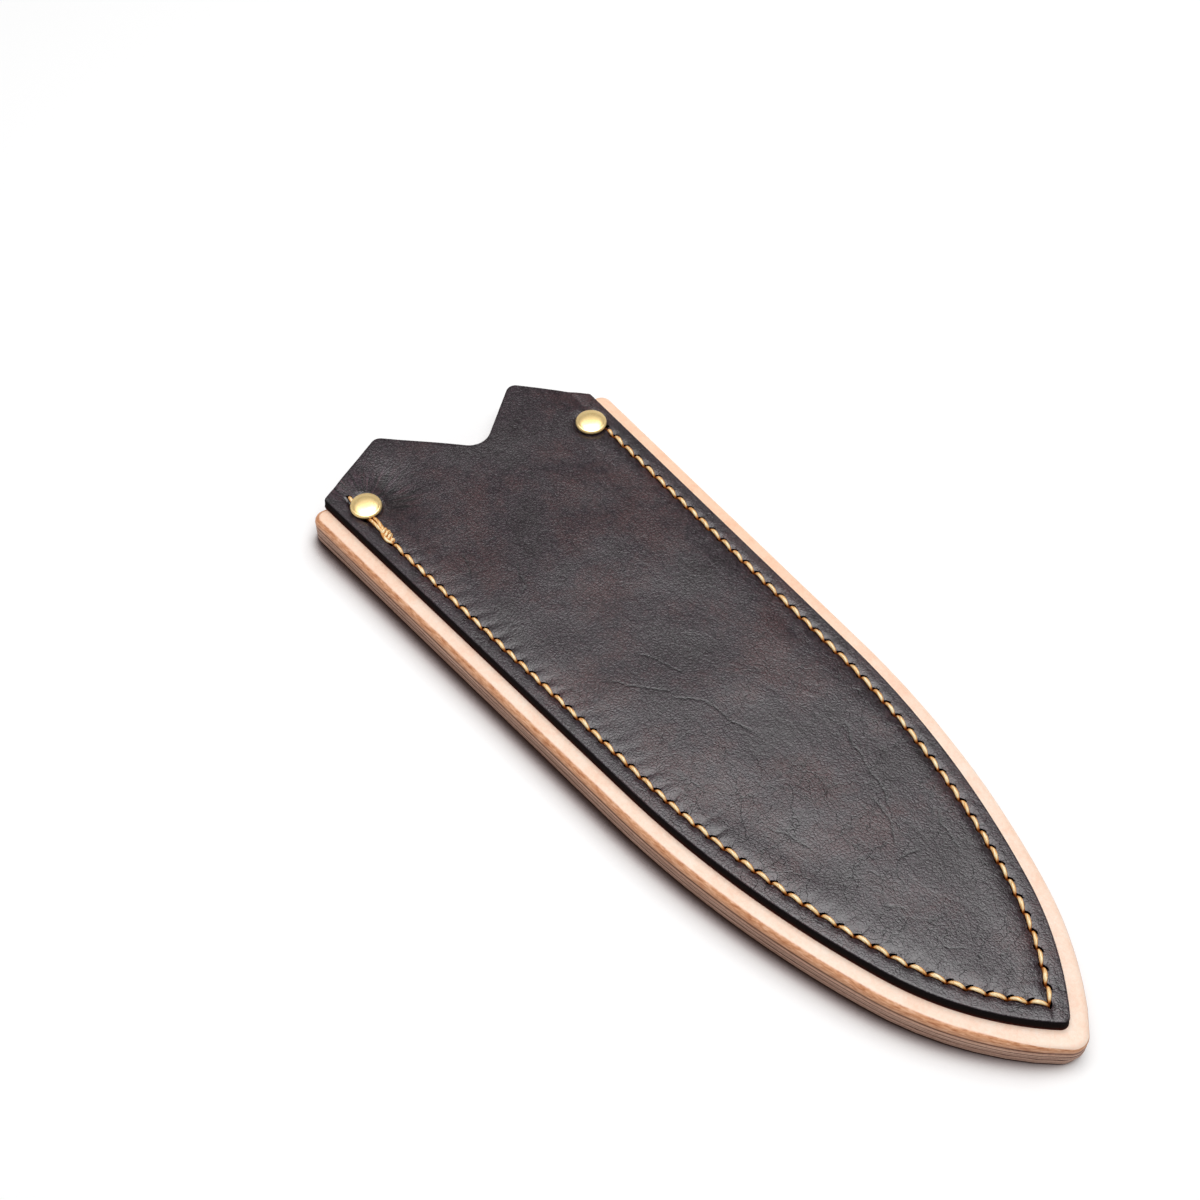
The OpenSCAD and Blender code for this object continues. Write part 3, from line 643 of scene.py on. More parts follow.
def panel_relief(verts):
    """Draws the panel's face up and down, as the seam, the stitches and the wear have done."""
    top = verts[:, 2] > 10.6
    p = verts[top]
    g, d = seam_place(p)
    stitch = np.interp(g, slit_g, np.arange(len(slit_g)))
    on_edge_side = smooth(EDGE_CORNER - g, -8, 8)
    # The seam's valley, the low swell outside it and the dent at each slit.
    rise = -0.17 * np.exp(-(d / 1.0) ** 2)
    rise += 0.03 * np.exp(-((d - 1.7) / 0.7) ** 2)
    to_slit = np.min([from_place(p, place) for place, _ in slits[LOCK_COVERS:]], axis=0)
    rise += -0.30 * np.exp(-(to_slit / 1.1) ** 2)
    # Pulls between the stitches on the inner side, livelier past the mouth and
    # on the edge side.
    lively = np.clip(0.60 + 1.7 * wander(p, 8, 3), 0.05, 1.8)
    lively = lively * (0.35 + 0.65 * on_edge_side) * (0.30 + 0.55 * smooth(g, 25, 90))
    inner = smooth(-d, 0.4, 1.4) * np.exp(-np.maximum(0, -d - 1.2) / 2.6)
    turn = 2 * pi * (stitch + 0.08 * d + 0.15 * wander(p, 5, 5))
    rise += -0.20 * lively * inner * (0.5 + 0.5 * np.cos(turn)) ** 2
    # The open face stands up from the seam, and is a little uneven.
    rise += 0.34 * (1 - np.exp(-np.maximum(0, -d - 0.8) / 3.2))
    rise += 0.45 * smooth(-d, 2, 9) * wander(p, 34, 1) + 0.17 * smooth(-d, 1, 5) * wander(p, 11, 2)
    rise += -0.85 * dimple(p, HOLLOW_DEPTH)
    # Pressed flat under the caps, with a shallow ring at each rim, and a deep
    # trough where the thread runs in under a cap.
    flat = np.min([smooth(from_place(p, r), 4.3, 6.2) for r in rivets], axis=0)
    rise = rise * flat - 0.03 * (1 - flat)
    for end in (0, LAST_G):
        rise -= 1.0 * np.exp(-(d / 0.75) ** 4) * smooth(3.9 - np.abs(g - end), 0, 0.6)
    rise -= 0.55 * np.exp(-(d / 0.7) ** 4) * smooth(6.5 - np.abs(g), 0, 1.5)
    for r in rivets:
        rise -= 0.24 * np.exp(-((from_place(p, r) - 4.2) / 0.27) ** 2)
    away, strength = crease_place(p)
    rise -= 0.012 * strength * np.exp(-(away / 0.35) ** 2)
    fade = smooth(p[:, 2], 10.7, 11.15)
    out = verts.copy()
    out[top, 2] += rise * fade
    return out


def panel_skip(points):
    """Points four fine gaps apart on the open face, two near the seam and one at the deep creases."""
    skip = np.full(len(points), 4)
    skip[seam_place(points)[1] > -7.5] = 2
    skip[crease_place(points)[0] < 0.9] = 1
    return skip


FINE_GAP, CLEAR_OF_WALL = 0.25, 0.85
panel_holes = panel_slits + post_holes
face_outline = panel_outline - outward(panel_outline) * CLEAR_OF_WALL
face_points = field(face_outline, panel_holes, FINE_GAP, panel_skip)
verts, faces = slab(panel_outline, panel_profile, panel_holes, face_points)
on_wall = np.array([verts[f].mean(0)[2] for f in faces]) < 11.05
verts = panel_relief(verts)
front_panel = make_mesh("front_panel_leather", verts, faces, dark_leather)
# Painted shade: the colour darkens along the deep creases and in the hollow's corner, kept with the
# mesh.
away, strength = crease_place(verts)
crease_and_hollow_shade = 0.9 * strength * np.exp(-(away / 0.30) ** 2)
crease_and_hollow_shade = np.maximum(crease_and_hollow_shade, 0.95 * dimple(verts, HOLLOW_SHADE)) * (verts[:, 2] > 9.5)
keep_values(front_panel, "crease", crease_and_hollow_shade)
front_panel.data.materials.append(slicked_edge)
front_panel.data.polygons.foreach_set("material_index", on_wall.astype(np.int32))
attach(front_panel, "root")
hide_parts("front_panel")

# Natural body: the welt and the plies below it are undyed leather, glued in a
# stack, sanded flush and burnished. The welt's top face keeps its pale grain.
# On the spine side its border is SPINE_EXTRA wider than the solids have it,
# which the picture asks for.
EDGE_BORDER, SPINE_BORDER, SPINE_EXTRA = 4.8, 4.1, 0.85
BODY_EDGE_D, BODY_SPINE_D = PANEL_D + EDGE_BORDER, PANEL_D + SPINE_BORDER + SPINE_EXTRA
EDGE_MOUTH_REACH, SPINE_MOUTH_REACH, SLOT_REACH = 7.9, 10.4, 9.2
BODY_TIP_R, BODY_CORNER_R, BODY_LINE_GAP = 4.5, 3.0, 0.9
SLOT_INSET, SLOT_TIP_R = 5.0, 2.5
body_sides = sides(BODY_EDGE_D, BODY_SPINE_D, BODY_TIP_R)
edge_mouth = side_cross(EDGE, EDGE_MOUTH_REACH, BODY_EDGE_D)
spine_mouth = side_cross(SPINE, SPINE_MOUTH_REACH, BODY_SPINE_D)
body_corners = (
    rounded(spine_mouth, edge_mouth, body_sides[0], BODY_CORNER_R) + body_sides
    + rounded(body_sides[-1], spine_mouth, edge_mouth, BODY_CORNER_R)
)
body_outline = spaced(body_corners, BODY_LINE_GAP)
# The welt's outline turns in at the mouth and runs round the blade's slot.
mouth_line = unit(edge_mouth - spine_mouth)
slot_ends = [
    spine_mouth + mouth_line * ((p - spine_mouth) @ mouth_line)
    for p in (side_cross(SPINE, SLOT_REACH, -SLOT_INSET),
              side_cross(EDGE, EDGE_MOUTH_REACH, -SLOT_INSET))
]
slot_sides = sides(-SLOT_INSET, -SLOT_INSET, SLOT_TIP_R)
welt_outline = spaced(
    body_corners + slot_ends[:1] + slot_sides[::-1] + slot_ends[1:], BODY_LINE_GAP)

# Undyed vegetable-tanned leather: a pale peach grain face with fine pores, a
# little deeper towards the spine side and the mouth. Rubbing has turned its
# rounded edge orange-tan in uneven strokes, and the spine side's least.
natural_leather, t = new_material("natural_veg_tan_leather")
mm = in_mm(t)
upright = add(t, "SeparateXYZ", add(t, "NewGeometry").outputs["Normal"]).outputs["Z"]
height = add(t, "SeparateXYZ", mm).outputs["Z"]
pores = add(t, "TexNoise", mm, Scale=1 / 0.7, Detail=4.0, Roughness=0.7)
patches = add(t, "TexNoise", mm, Scale=1 / 6, Detail=4.0, Roughness=0.6)
tone = add(t, "Mix", 0.5, i2=pores, i3=patches)
top_colour = add(t, "ValToRGB", [(0.36, "#FAD2B8"), (0.5, "#FEDFC9"), (0.64, "#FEE8D6")], tone)
spineward = add(t, "VectorMath", "DOT_PRODUCT", mm, (-0.6, 0.8, 0)).outputs["Value"]
peachy = add(t, "MapRange", "SMOOTHSTEP", spineward, 0.0, 62.0)
top_peach = add(t, "Mix", MULTIPLIED, peachy, i6=top_colour, i7=linear("#FFF0E2"))
drawn_out = add(t, "Mapping", mm, Scale=(1 / 2.2, 1 / 2.2, 1 / 0.3))
streaks = add(t, "TexNoise", drawn_out, Scale=1.0, Detail=5.0, Roughness=0.65)
edge_colour = add(t, "ValToRGB", [
    (0.32, "#A9653F"), (0.45, "#CA8B60"), (0.58, "#DFA882"), (0.7, "#ECC0A0")], streaks)
glue = add(t, "MapRange", "SMOOTHSTEP", height, 5.60, 6.45, 1.0, 0.0)
edge_dark = add(t, "Mix", "RGBA", glue, i6=edge_colour, i7=linear("#7E4628"))
tilt = add(t, "Math", "SUBTRACT", 1.0, upright)
side_on = add(t, "SeparateXYZ", mm).outputs["Y"]
spared = add(t, "MapRange", "SMOOTHSTEP", side_on, -6.0, 12.0, 0.0, 0.45)
tilt = add(t, "Math", "SUBTRACT", tilt, spared)
uneven = add(t, "Math", "MULTIPLY_ADD", pores, 1.3, 0.15)
strokes = add(t, "Math", "MULTIPLY", tilt, uneven)
rubbed = add(t, "MapRange", "SMOOTHSTEP", strokes, 0.003, 0.06)
colour = add(t, "Mix", "RGBA", rubbed, i6=top_peach.outputs[2], i7=edge_dark.outputs[2])
bump = add(t, "Bump", Strength=0.35, Distance=0.00012, Height=pores)
shader = add(t, "BsdfPrincipled", colour.outputs[2], Roughness=0.5, Normal=bump)
add(t, "OutputMaterial", shader)

# The core and back plies are firmer, browner splits. Their cut edges show
# thin layers of fibre, and dark lines where the glue has been burnished in.
core_leather, t = new_material("core_split_leather")
mm = in_mm(t)
height = add(t, "SeparateXYZ", mm).outputs["Z"]
waver = add(t, "TexNoise", mm, Scale=1 / 14)
level = add(t, "Math", "MULTIPLY_ADD", waver, 0.25, height)
layer_place = add(t, "Mapping", mm, Scale=(1 / 22, 1 / 22, 1 / 0.26))
layers = add(t, "TexNoise", layer_place, Scale=1.0, Detail=3.0, Roughness=0.65)
fibres = add(t, "TexNoise", mm, Scale=1 / 0.6, Detail=4.0, Roughness=0.65)
mixed = add(t, "Mix", 0.3, i2=layers, i3=fibres)
colour = add(t, "ValToRGB", [
    (0.34, "#8A6D60"), (0.44, "#C0A192"), (0.54, "#DCC1B2"), (0.66, "#F0DBCF")], mixed)
# The glue's lines and the splits' own layers, from the floor up to the welt.
stack_share = add(t, "MapRange", "LINEAR", level, 0.125, 5.725)
shade = add(t, "ValToRGB", [
    (0.0, "#FFEEE2"), (0.14, "#F2E2D8"), (0.19, "#E8D9D0"), (0.215, "#A48A7D"), (0.24, "#E6D6CD"),
    (0.40, "#E4D3C9"), (0.425, "#5E4236"), (0.44, "#6A4E42"), (0.465, "#E0CFC5"),
    (0.545, "#E6D6CC"), (0.57, "#846A5D"), (0.595, "#E6D6CC"),
    (0.685, "#E6D5CA"), (0.705, "#5E4236"), (0.73, "#6A4B3F"), (0.75, "#F2E0D4"),
    (0.91, "#F3DDCD"), (1.0, "#6B4A3C"),
], stack_share)
both = add(t, "Mix", MULTIPLIED, 1.0, i6=colour, i7=shade)
bump = add(t, "Bump", Strength=0.5, Distance=0.00016, Height=mixed)
shader = add(t, "BsdfPrincipled", both.outputs[2], Roughness=0.62, Normal=bump,
             Specular_IOR_Level=0.35)
add(t, "OutputMaterial", shader)

PLY_SLIT = 1.6, 0.5
all_slits = [slit_outline(place, heading, *PLY_SLIT) for place, heading in slits]


def sanded(outline, seed, depth=0.05):
    """The stack's edge is sanded by hand, so each ply's outline wanders a little."""
    return outline + outward(outline) * (depth * wander(outline, 9, seed) - 0.03)[:, None]


# The welt's outer edge is rounded over nearly 2 mm, and its slot hardly at all.
outer_share = np.where(seam_place(welt_outline)[1] > -3.5, 1.0, 0.15)
welt_profile = [
    (0.10, 5.62), (0.02, 5.72), (0.0, 6.0), (0.0, 6.45), (0.09, 6.92),
    (0.30, 7.34), (0.62, 7.66), (1.02, 7.87), (1.45, 7.97), (1.9, 8.0),
]
welt_holes = all_slits + post_holes
face_outline = welt_outline - outward(welt_outline) * (2.4 * outer_share)[:, None]
face_points = field(face_outline, welt_holes, 1.0, lambda points: np.full(len(points), 2))
verts, faces = slab(sanded(welt_outline, 11), welt_profile, welt_holes, face_points, outer_share)
welt = make_mesh("welt_leather", verts, faces, natural_leather)
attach(welt, "root")
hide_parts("welt")

for name, node, low, high, seed in (
    ("upper_core_leather", "upper_core_ply", 4.0, 5.6, 21),
    ("lower_core_leather", "lower_core_ply", 2.4, 4.0, 31),
):
    lower_half = ((0.14, 0.01), (0.03, 0.08), (0.0, 0.3))
    profile = [(inset, low + z) for inset, z in lower_half]
    profile += [(inset, high - z) for inset, z in lower_half[::-1]]
    verts, faces = slab(
        sanded(body_outline, seed), profile,
        all_slits[1:-1] + post_holes, np.zeros((0, 2)),
    )
    ply = make_mesh(name, verts, faces, core_leather)
    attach(ply, "root")
    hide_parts(node)

# Back ply: the same stock as the core. Its lower edge is rounded over; the
# seam's groove and the seats of the rivets' back caps are cut into its face.
# This is the solid's own mesh, with its outer wall moved out on the spine side
# and at the mouth's spine corner, flush with the plies above it.
MOUTH_EXTRA = 1.2
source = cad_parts["back_ply"].data
corners = np.round([v.co * 1000 for v in source.vertices], 4)
verts, place_of = np.unique(corners, axis=0, return_inverse=True)
faces = [[int(k) for k in place_of.ravel()[list(f.vertices)]] for f in source.polygons]
faces = [f for f in faces if len(set(f)) == len(f)]
verts += [MIDDLE[0], MIDDLE[1], 0]
g, d = seam_place(verts)
on_spine_wall = smooth(d, 4.5, 6.5) * smooth(g, EDGE_CORNER - 2, EDGE_CORNER + 8)
to_spine = np.array([[sin(seam_heading(x)), -cos(seam_heading(x))] for x in g])
verts[:, :2] += SPINE_EXTRA * on_spine_wall[:, None] * to_spine
mouth_length = norm(spine_mouth - edge_mouth)
mouth_share = np.clip((edge_mouth - verts[:, :2]) @ mouth_line / mouth_length, 0, 1)
mouth_share *= smooth(verts[:, :2] @ BEYOND, 4.5, 6.5)
verts[:, :2] += MOUTH_EXTRA * mouth_share[:, None] * BEYOND
back_ply = make_mesh("back_leather", verts, faces, core_leather, creased=35)
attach(back_ply, "root")
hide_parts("back_ply")

# Waxed thread: twisted linen or polyester, about 1.1 mm thick, cream to tan with a waxy shine. Its
# colour turns orange towards its sides as seen, partly the wax and partly a painted shade, and darkens
# where it dives into a slit, as painted shade there.
# Its two ends are sewn through the slits from opposite faces.
thread_tan, t = new_material("waxed_tan_thread")
along = add(t, "Attribute", "along").outputs["Fac"]
around = add(t, "Attribute", "around").outputs["Fac"]
lay = add(t, "CombineXYZ", X=along, Y=around)
lay = add(t, "VectorMath", "MULTIPLY", lay, (0.5, 9.0, 0))
fibres = add(t, "TexNoise", lay, Scale=1.0, Detail=3.0, Roughness=0.6)
# Painted shade: the thread darkens towards its sides as seen, so its middle reads lighter.
turned = add(t, "LayerWeight", Blend=0.5).outputs["Facing"]
deeper = add(t, "Math", "MULTIPLY_ADD", turned, -0.36, fibres)
height = add(t, "SeparateXYZ", in_mm(t)).outputs["Z"]
# Painted shade and highlight: the front thread darkens where it sinks into the slits, and is a little
# lighter where it stands highest.
painted_slit_shade = add(t, "MapRange", "SMOOTHSTEP", height, 10.6, 11.7, -0.32, 0.06)
in_front = add(t, "Math", "GREATER_THAN", height, 6.0)
deeper = add(t, "Math", "MULTIPLY_ADD", painted_slit_shade, in_front, deeper)
colour = add(t, "ValToRGB", [
    (0.10, "#863F10"), (0.25, "#C47833"), (0.38, "#E6A75F"),
    (0.49, "#FBD698"), (0.58, "#FFEFC6")], deeper)
bump = add(t, "Bump", Strength=0.6, Distance=0.00012, Height=fibres)
shader = add(t, "BsdfPrincipled", colour, Roughness=0.36, Normal=bump)
add(t, "OutputMaterial", shader)

# The two threads pass a slit side by side, THREAD_APART from its middle. They
# are tubes of THREAD_SIDES sides with one twist in TWIST_PITCH, and their ends
# stay buried in the welt.
THREAD_APART, THREAD_SIDES, TWIST_PITCH, BURIED_Z = 0.65, 12, 9.0, 6.8
# One stitch over the front: share of its length, height, swing to the inner
# side and radius. It fills the middle of the slits and swells between them.
OVER = (
    (0.0, -1.8, 0.0, 0.28), (0.02, -1.0, 0.0, 0.30), (0.07, -0.48, 0.03, 0.36),
    (0.14, -0.06, 0.07, 0.43), (0.25, 0.28, 0.12, 0.50), (0.40, 0.44, 0.13, 0.55),
    (0.58, 0.45, 0.09, 0.55), (0.74, 0.28, 0.03, 0.50), (0.86, -0.06, 0.0, 0.43),
    (0.94, -0.50, 0.0, 0.36), (0.985, -1.0, 0.0, 0.30), (1.0, -1.8, 0.0, 0.28),
)
# One stitch under the back: share, height and radius. It lies in the groove.
UNDER = ((0.0, 2.2, 0.40), (0.06, 1.0, 0.44), (0.25, 0.66, 0.54),
         (0.75, 0.66, 0.54), (0.94, 1.0, 0.44), (1.0, 2.2, 0.40))
# The first three lie under the cap and the lock, and read as one strand: the
# seam place g and d, the height and the radius of each point.
LOCKED = (
    ((-5.55, -1.0, -1.7, 0.34), (-5.5, -0.98, -0.5, 0.40), (-5.25, -0.92, 0.0, 0.48),
     (-4.6, -0.80, 0.14, 0.50), (-3.9, -0.70, -0.15, 0.50), (-3.2, -0.6, -0.72, 0.45),
     (3.0, -0.45, -0.72, 0.45), (3.8, -0.42, -0.25, 0.46), (4.5, -0.40, 0.16, 0.46),
     (5.1, -0.38, 0.22, 0.44), (5.35, -0.36, -0.6, 0.34), (5.35, -0.35, -1.7, 0.34)),
    ((5.0, -0.42, -1.7, 0.34), (5.0, -0.42, -0.6, 0.34), (5.15, -0.41, 0.08, 0.42),
     (5.8, -0.36, 0.26, 0.46), (7.2, -0.28, 0.30, 0.46), (8.6, -0.22, 0.30, 0.46),
     (9.6, -0.05, 0.2, 0.44), (9.9, 0.0, -0.6, 0.34), (9.9, 0.0, -1.7, 0.34)),
    ((9.4, 0.0, -1.7, 0.34), (9.4, 0.0, -0.6, 0.34), (9.6, 0.10, 0.10, 0.42),
     (10.6, 0.40, 0.28, 0.48), (11.8, 0.62, 0.32, 0.50), (12.7, 0.48, 0.20, 0.46),
     (13.3, 0.10, -0.08, 0.40), (13.6, -0.12, -0.6, 0.33), (13.65, -0.16, -1.7, 0.30)),
)


def over_seam(rows):
    """Turns (g, d, height over the panel, radius) into (x, y, z, radius)."""
    return [(*seam_at(g, d), Z_TOP + rise, r) for g, d, rise, r in rows]


def stitch_path(i, face):
    """Points of one stitch as (x, y, z, radius): over the front, or under the back."""
    if face > 0 and i < LOCK_COVERS:
        return over_seam(LOCKED[i])
    if face > 0:
        on_edge_side = i < corner_slit
        near, far = (0.0, -0.25) if on_edge_side else (0.25, 0.0)
        a, b = along_slit(i, near), along_slit(i + 1, far)
        way = unit(b - a)
        left = np.array([-way[1], way[0]])
        length = norm(b - a)
        rows = []
        for share, rise, swing, r in OVER:
            if i == len(slits) - 2:
                rise -= 0.95 * float(smooth(1 - share, 0.35, 0.6)) * (rise > -0.6)
            if not on_edge_side:
                share, swing = 1 - share, -swing
            vary = 0.05 * sin(i * 2.3 + 1) * (0 < share < 1)
            q = a + way * length * share + left * (swing + vary * 0.6)
            z = Z_TOP - 0.15 + rise + vary * (rise > 0)
            rows.append((*q, z, 0.93 * r * (1 + 0.05 * sin(i * 1.7))))
        return rows if on_edge_side else rows[::-1]
    a, b = along_slit(i, -THREAD_APART), along_slit(i + 1, THREAD_APART)
    return [(*(a + (b - a) * share), z, r) for share, z, r in UNDER]


def strand(first, last):
    """One thread from slit to slit, over the front first and then under the back by turns."""
    rows = [(*along_slit(first, THREAD_APART), BURIED_Z, 0.4)]
    for i in range(first, last):
        rows += stitch_path(i, 1 if (i - first) % 2 == 0 else -1)
    return rows + [(*along_slit(last, -THREAD_APART), BURIED_Z, 0.4)]


def thread_tube(rows, step):
    """A twisted thread along a smooth curve through the points.

    It also gives each vertex's distance along the thread and its place round
    the twist. Where the plies hide it, the curve has no points in between.
    """
    rows = np.array(rows, float)
    padded = np.concatenate([[2 * rows[0] - rows[1]], rows, [2 * rows[-1] - rows[-2]]])
    points = []
    for k in range(1, len(padded) - 2):
        p0, p1, p2, p3 = padded[k - 1:k + 3]
        length = norm(p2[:3] - p1[:3])
        hidden = min(p1[2], p2[2]) > 2.0 and max(p1[2], p2[2]) < 9.6
        n = 1 if hidden or length < 0.2 else max(2, round(length / step))
        for u in np.arange(n) / n:
            bent = (2 * p0 - 5 * p1 + 4 * p2 - p3) * u ** 2 + (3 * p1 - p0 - 3 * p2 + p3) * u ** 3
            points.append(0.5 * (2 * p1 + (p2 - p0) * u + bent))
    points.append(rows[-1])
    points = np.array(points)
    ways = np.gradient(points[:, :3], axis=0)
    ways /= norm(ways, axis=1)[:, None]
    lengths = norm(np.diff(points[:, :3], axis=0), axis=1)
    distance = np.concatenate([[0], np.cumsum(lengths)])
    side = np.array([1.0, 0.0, 0.0]) if abs(ways[0][0]) < 0.9 else np.array([0.0, 1.0, 0.0])
    verts, along, around = [], [], []
    for k, (p, way) in enumerate(zip(points, ways)):
        side = side - way * (side @ way)
        side /= norm(side)
        up = np.cross(way, side)
        twist = distance[k] * 2 * pi / TWIST_PITCH
        for j in range(THREAD_SIDES):
            a = 2 * pi * j / THREAD_SIDES
            r = p[3] * (1 + 0.05 * cos(3 * (a - twist)))
            verts.append(p[:3] + r * (side * cos(a) + up * sin(a)))
            along.append(distance[k])
            around.append(abs(((a - twist) / (2 * pi)) % 1 - 0.5) * 2)
    faces = []
    last = (len(points) - 1) * THREAD_SIDES
    for base in range(0, last, THREAD_SIDES):
        for j in range(THREAD_SIDES):
            a, b = base + j, base + (j + 1) % THREAD_SIDES
            faces.append([a, b, b + THREAD_SIDES, a + THREAD_SIDES])
    faces.append(list(range(THREAD_SIDES))[::-1])
    faces.append(list(range(last, last + THREAD_SIDES)))
    return verts, faces, along, around


def make_thread(name, node, rows, step=0.30):
    verts, faces, along, around = thread_tube(rows, step)
    piece = make_mesh(name, verts, faces, thread_tan, creased=80)
    keep_values(piece, "along", along)
    keep_values(piece, "around", around)
    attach(piece, "root")
    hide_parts(node)


last_slit = len(slits) - 1
make_thread("first_thread", "thread_first_end", strand(0, last_slit - 1))
make_thread("second_thread", "thread_second_end", strand(1, last_slit))

# The lock: the thread's end comes out from under the cap beside the first
# stitch, is wound three times over the third, and is tucked into a slit.
TURNS, TURN_STEPS, WOUND_FROM, WOUND_TO = 3, 8, 9.0, 12.4
lock_rows = [
    (3.0, -1.55, -0.75, 0.42), (4.0, -1.52, -0.3, 0.44), (5.0, -1.48, 0.14, 0.46),
    (6.2, -1.36, 0.26, 0.46), (7.6, -1.12, 0.30, 0.46), (8.4, -0.95, 0.34, 0.42),
]
for k in range(TURNS * TURN_STEPS + 1):
    share = k / (TURNS * TURN_STEPS)
    a = 2 * pi * k / TURN_STEPS - 0.6
    bulge = sin(pi * share)
    g = WOUND_FROM + (WOUND_TO - WOUND_FROM) * share + 0.5 * cos(a)
    d = -0.60 - 0.12 * bulge + (0.52 + 0.26 * bulge) * cos(a)
    lock_rows.append((g, d, 0.22 + 0.38 * sin(a), 0.44 + 0.03 * sin(3.1 * k)))
lock_rows += [(12.9, -0.85, 0.1, 0.40), (13.3, -0.7, -0.5, 0.34), (13.4, -0.65, -1.7, 0.30)]
make_thread("thread_lock_wrap", "thread_lock", over_seam(lock_rows), 0.22)

# Double-cap rivets: stamped brass with a domed front cap, whose rim is rolled
# under. A post from the flat back cap is pressed into it. The brass has been
# tumbled to a satin: its grain spreads the light into one soft patch.
rivet_brass, t = new_material("tumbled_brass")
mm = in_mm(t)
speckle = add(t, "TexNoise", mm, Scale=1 / 0.3, Detail=4.0, Roughness=0.7)
colour = add(t, "ValToRGB", [(0.3, "#F3D08C"), (0.55, "#F7DA9E"), (0.75, "#FAE3B2")], speckle)
height = add(t, "SeparateXYZ", mm).outputs["Z"]
# Painted shade: the brass darkens from under the front cap's rolled rim downwards, and the posts and
# back caps, lower still, take the same dark colour.
painted_rim_shade = add(t, "MapRange", "SMOOTHSTEP", height, Z_TOP + 0.75, Z_TOP + 0.25, 0.0, 0.8)
colour = add(t, "Mix", "RGBA", painted_rim_shade, i6=colour, i7=linear("#5A4022"))
rough = add(t, "MapRange", "LINEAR", speckle, 0.3, 0.7, 0.36, 0.40)
bump = add(t, "Bump", Strength=0.12, Distance=0.00004, Height=speckle)
shader = add(t, "BsdfPrincipled", colour.outputs[2], Metallic=1.0, Roughness=rough,
             Normal=bump)
add(t, "OutputMaterial", shader)

# The cap from the dome's middle out over the rim, back under it and down the
# tube, as (radius, height over the panel).
cap_profile = [
    (0.0, 1.70), (0.6, 1.692), (1.2, 1.67), (1.8, 1.62), (2.4, 1.53), (2.9, 1.41), (3.25, 1.29),
    (3.50, 1.17), (3.56, 1.12), (3.62, 1.115), (3.76, 1.06), (3.92, 0.95), (4.02, 0.78),
    (4.11, 0.60), (4.15, 0.42), (4.11, 0.22), (4.0, 0.08), (3.84, 0.0), (3.6, 0.0),
    (3.4, 0.15), (3.2, 0.35), (2.4, 0.8), (1.3, 1.1), (1.3, -1.5), (1.0, -1.5), (1.0, 1.2), (0.0, 1.3),
]
CAP_SIDES = 72
for name, node, place in (
    ("edge_rivet_cap", "rivet_cap_edge", rivets[0]),
    ("spine_rivet_cap", "rivet_cap_spine", rivets[1]),
):
    verts = [(*place, Z_TOP + cap_profile[0][1])]
    for r, z in cap_profile[1:-1]:
        verts += [(*p, Z_TOP + z) for p in circle(place, r, CAP_SIDES)]
    verts.append((*place, Z_TOP + cap_profile[-1][1]))
    turned = [(k, (k + 1) % CAP_SIDES) for k in range(CAP_SIDES)]
    faces = [[0, 1 + k, 1 + after] for k, after in turned]
    last_base = 1 + (len(cap_profile) - 3) * CAP_SIDES
    for base in range(1, last_base, CAP_SIDES):
        outer = base + CAP_SIDES
        faces += [[base + k, outer + k, outer + after, base + after] for k, after in turned]
    faces += [[len(verts) - 1, last_base + after, last_base + k] for k, after in turned]
    cap = make_mesh(name, verts, faces, rivet_brass)
    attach(cap, "root")
    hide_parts(node)
for node in ("rivet_post_edge", "rivet_post_spine"):
    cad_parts[node].data.materials.clear()
    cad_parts[node].data.materials.append(rivet_brass)

# Floor: white seamless paper. A little light of its own for the camera and for
# reflections brings it up to white, and the contact shade is deepened where
# the guard covers the light from behind.
white_paper, t = new_material("white_paper")
from_behind = add(t, "CombineXYZ", X=0.10, Y=0.62, Z=0.78)
cover = add(t, "AmbientOcclusion", {"samples": 32}, Distance=0.011, Normal=from_behind)
shade = add(t, "ValToRGB", [
    (0.33, "#3C2B26"), (0.37, "#5D5150"), (0.44, "#998F8E"), (0.51, "#C2BBBB"), (0.56, "#D7D3D2"),
    (0.61, "#E5E3E2"), (0.67, "#F0EEEE"), (0.74, "#FAF9F9"), (0.82, "#FFFFFF"),
], cover.outputs["AO"])
seen = add(t, "LightPath")
direct = add(t, "Math", "MAXIMUM", seen.outputs["Is Camera Ray"], seen.outputs["Is Glossy Ray"])
lift = add(t, "Math", "MULTIPLY", direct, 0.13)
base = add(t, "Mix", MULTIPLIED, 1.0, i6=linear("#F4F4F4"), i7=shade)
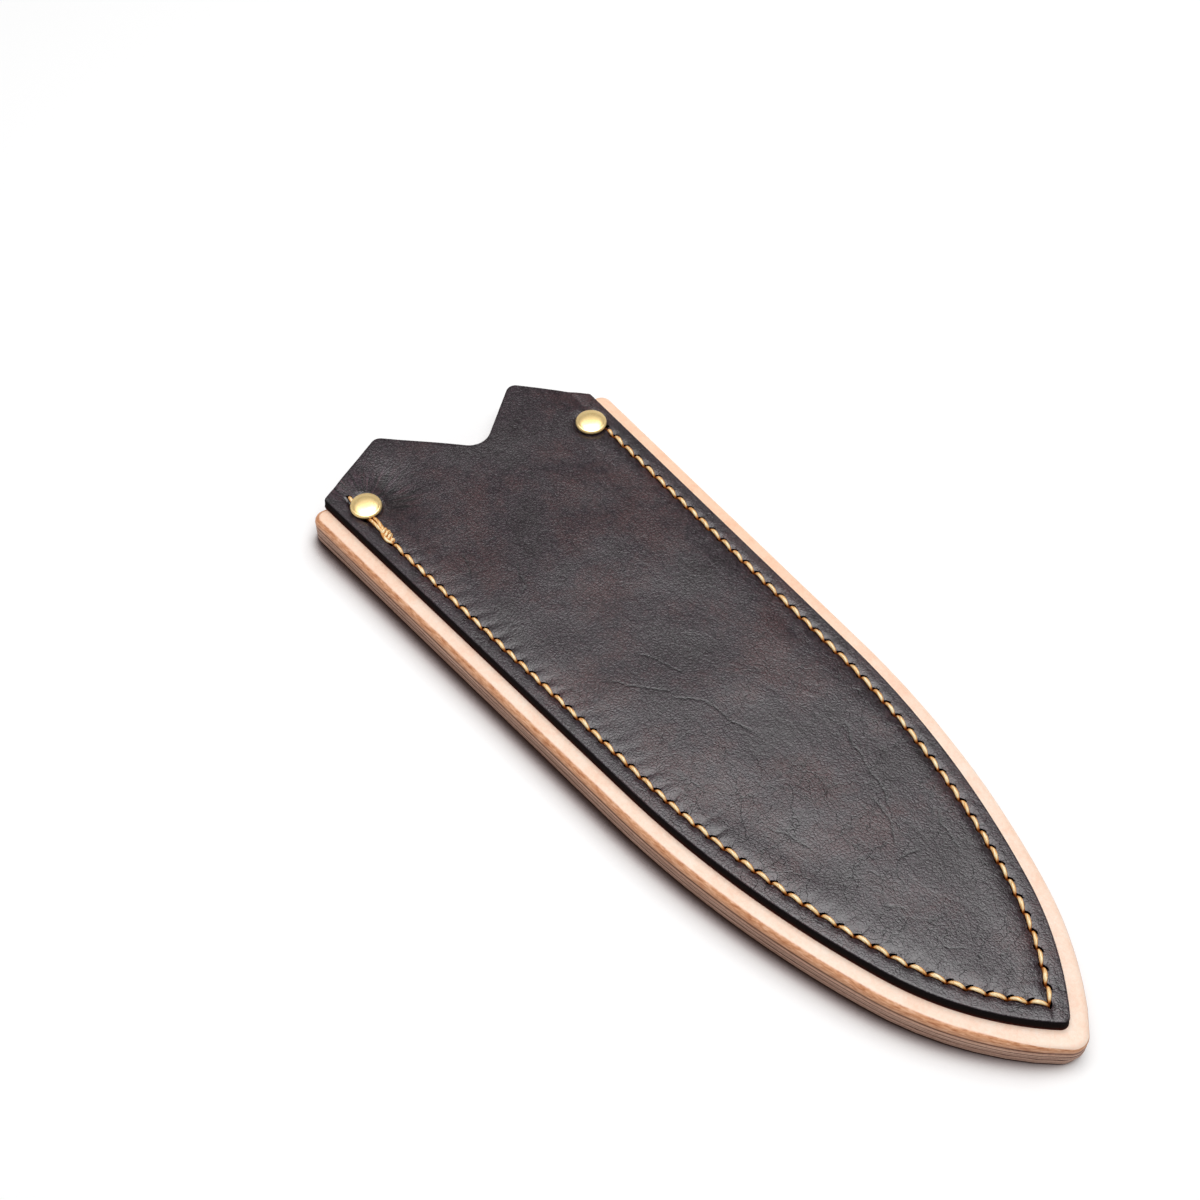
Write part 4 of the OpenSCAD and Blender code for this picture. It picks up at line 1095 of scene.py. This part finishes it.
paper = add(t, "BsdfDiffuse", base.outputs[2])
glow = add(t, "Emission", shade, lift)
total = add(t, "AddShader", paper, glow)
add(t, "OutputMaterial", total)
REACH = 3.0
paper_corners = [(-REACH, -REACH, 0), (REACH, -REACH, 0), (REACH, REACH, 0), (-REACH, REACH, 0)]
paper_mesh = bpy.data.meshes.new("floor")
paper_mesh.from_pydata(paper_corners, [], [(0, 1, 2, 3)])
paper_mesh.materials.append(white_paper)
floor = bpy.data.objects.new("floor", paper_mesh)
show(floor)
floor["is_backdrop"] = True

# Light: one large soft box above the mouth's half of the guard, in a white
# room. Its background is white for the camera, and dimmer as a light. What
# reflects gets a ceiling that brightens towards straight above, and paler
# walls lower down, so the panel's sheen grows from the mouth to the tip.
world = bpy.data.worlds.new("white_room")
bpy.context.scene.world = world
world.use_nodes = True
t = world.node_tree
t.nodes.clear()
seen = add(t, "LightPath")
ROOM_LIGHT = 0.33
room = add(t, "Math", "MULTIPLY_ADD", seen.outputs["Is Camera Ray"], 1 - ROOM_LIGHT, ROOM_LIGHT)
upward = add(t, "SeparateXYZ", add(t, "TexCoord").outputs["Generated"]).outputs["Z"]
ceiling = add(t, "MapRange", "SMOOTHSTEP", upward, 0.67, 0.97, -0.33, 1.55)
high_up = add(t, "MapRange", "SMOOTHSTEP", upward, 0.85, 0.97, 0.0, 2.3)
walls = add(t, "MapRange", "SMOOTHSTEP", upward, 0.62, 0.30, 0.0, 0.85)
above = add(t, "Math", "ADD", ceiling, walls)
above = add(t, "Math", "ADD", above, high_up)
room = add(t, "Math", "MULTIPLY_ADD", seen.outputs["Is Glossy Ray"], above, room)
add(t, "OutputWorld", add(t, "Background", (1, 1, 1, 1), Strength=room))
lamp = bpy.data.lights.new("soft_box", "AREA")
lamp.shape = "SQUARE"
lamp.size = 0.8
lamp.energy = 8.4
soft_box = bpy.data.objects.new("soft_box", lamp)
soft_box.location = (-0.04, 0.08, 1.0)
show(soft_box)

bpy.context.scene.view_settings.view_transform = "Standard"
low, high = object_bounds()
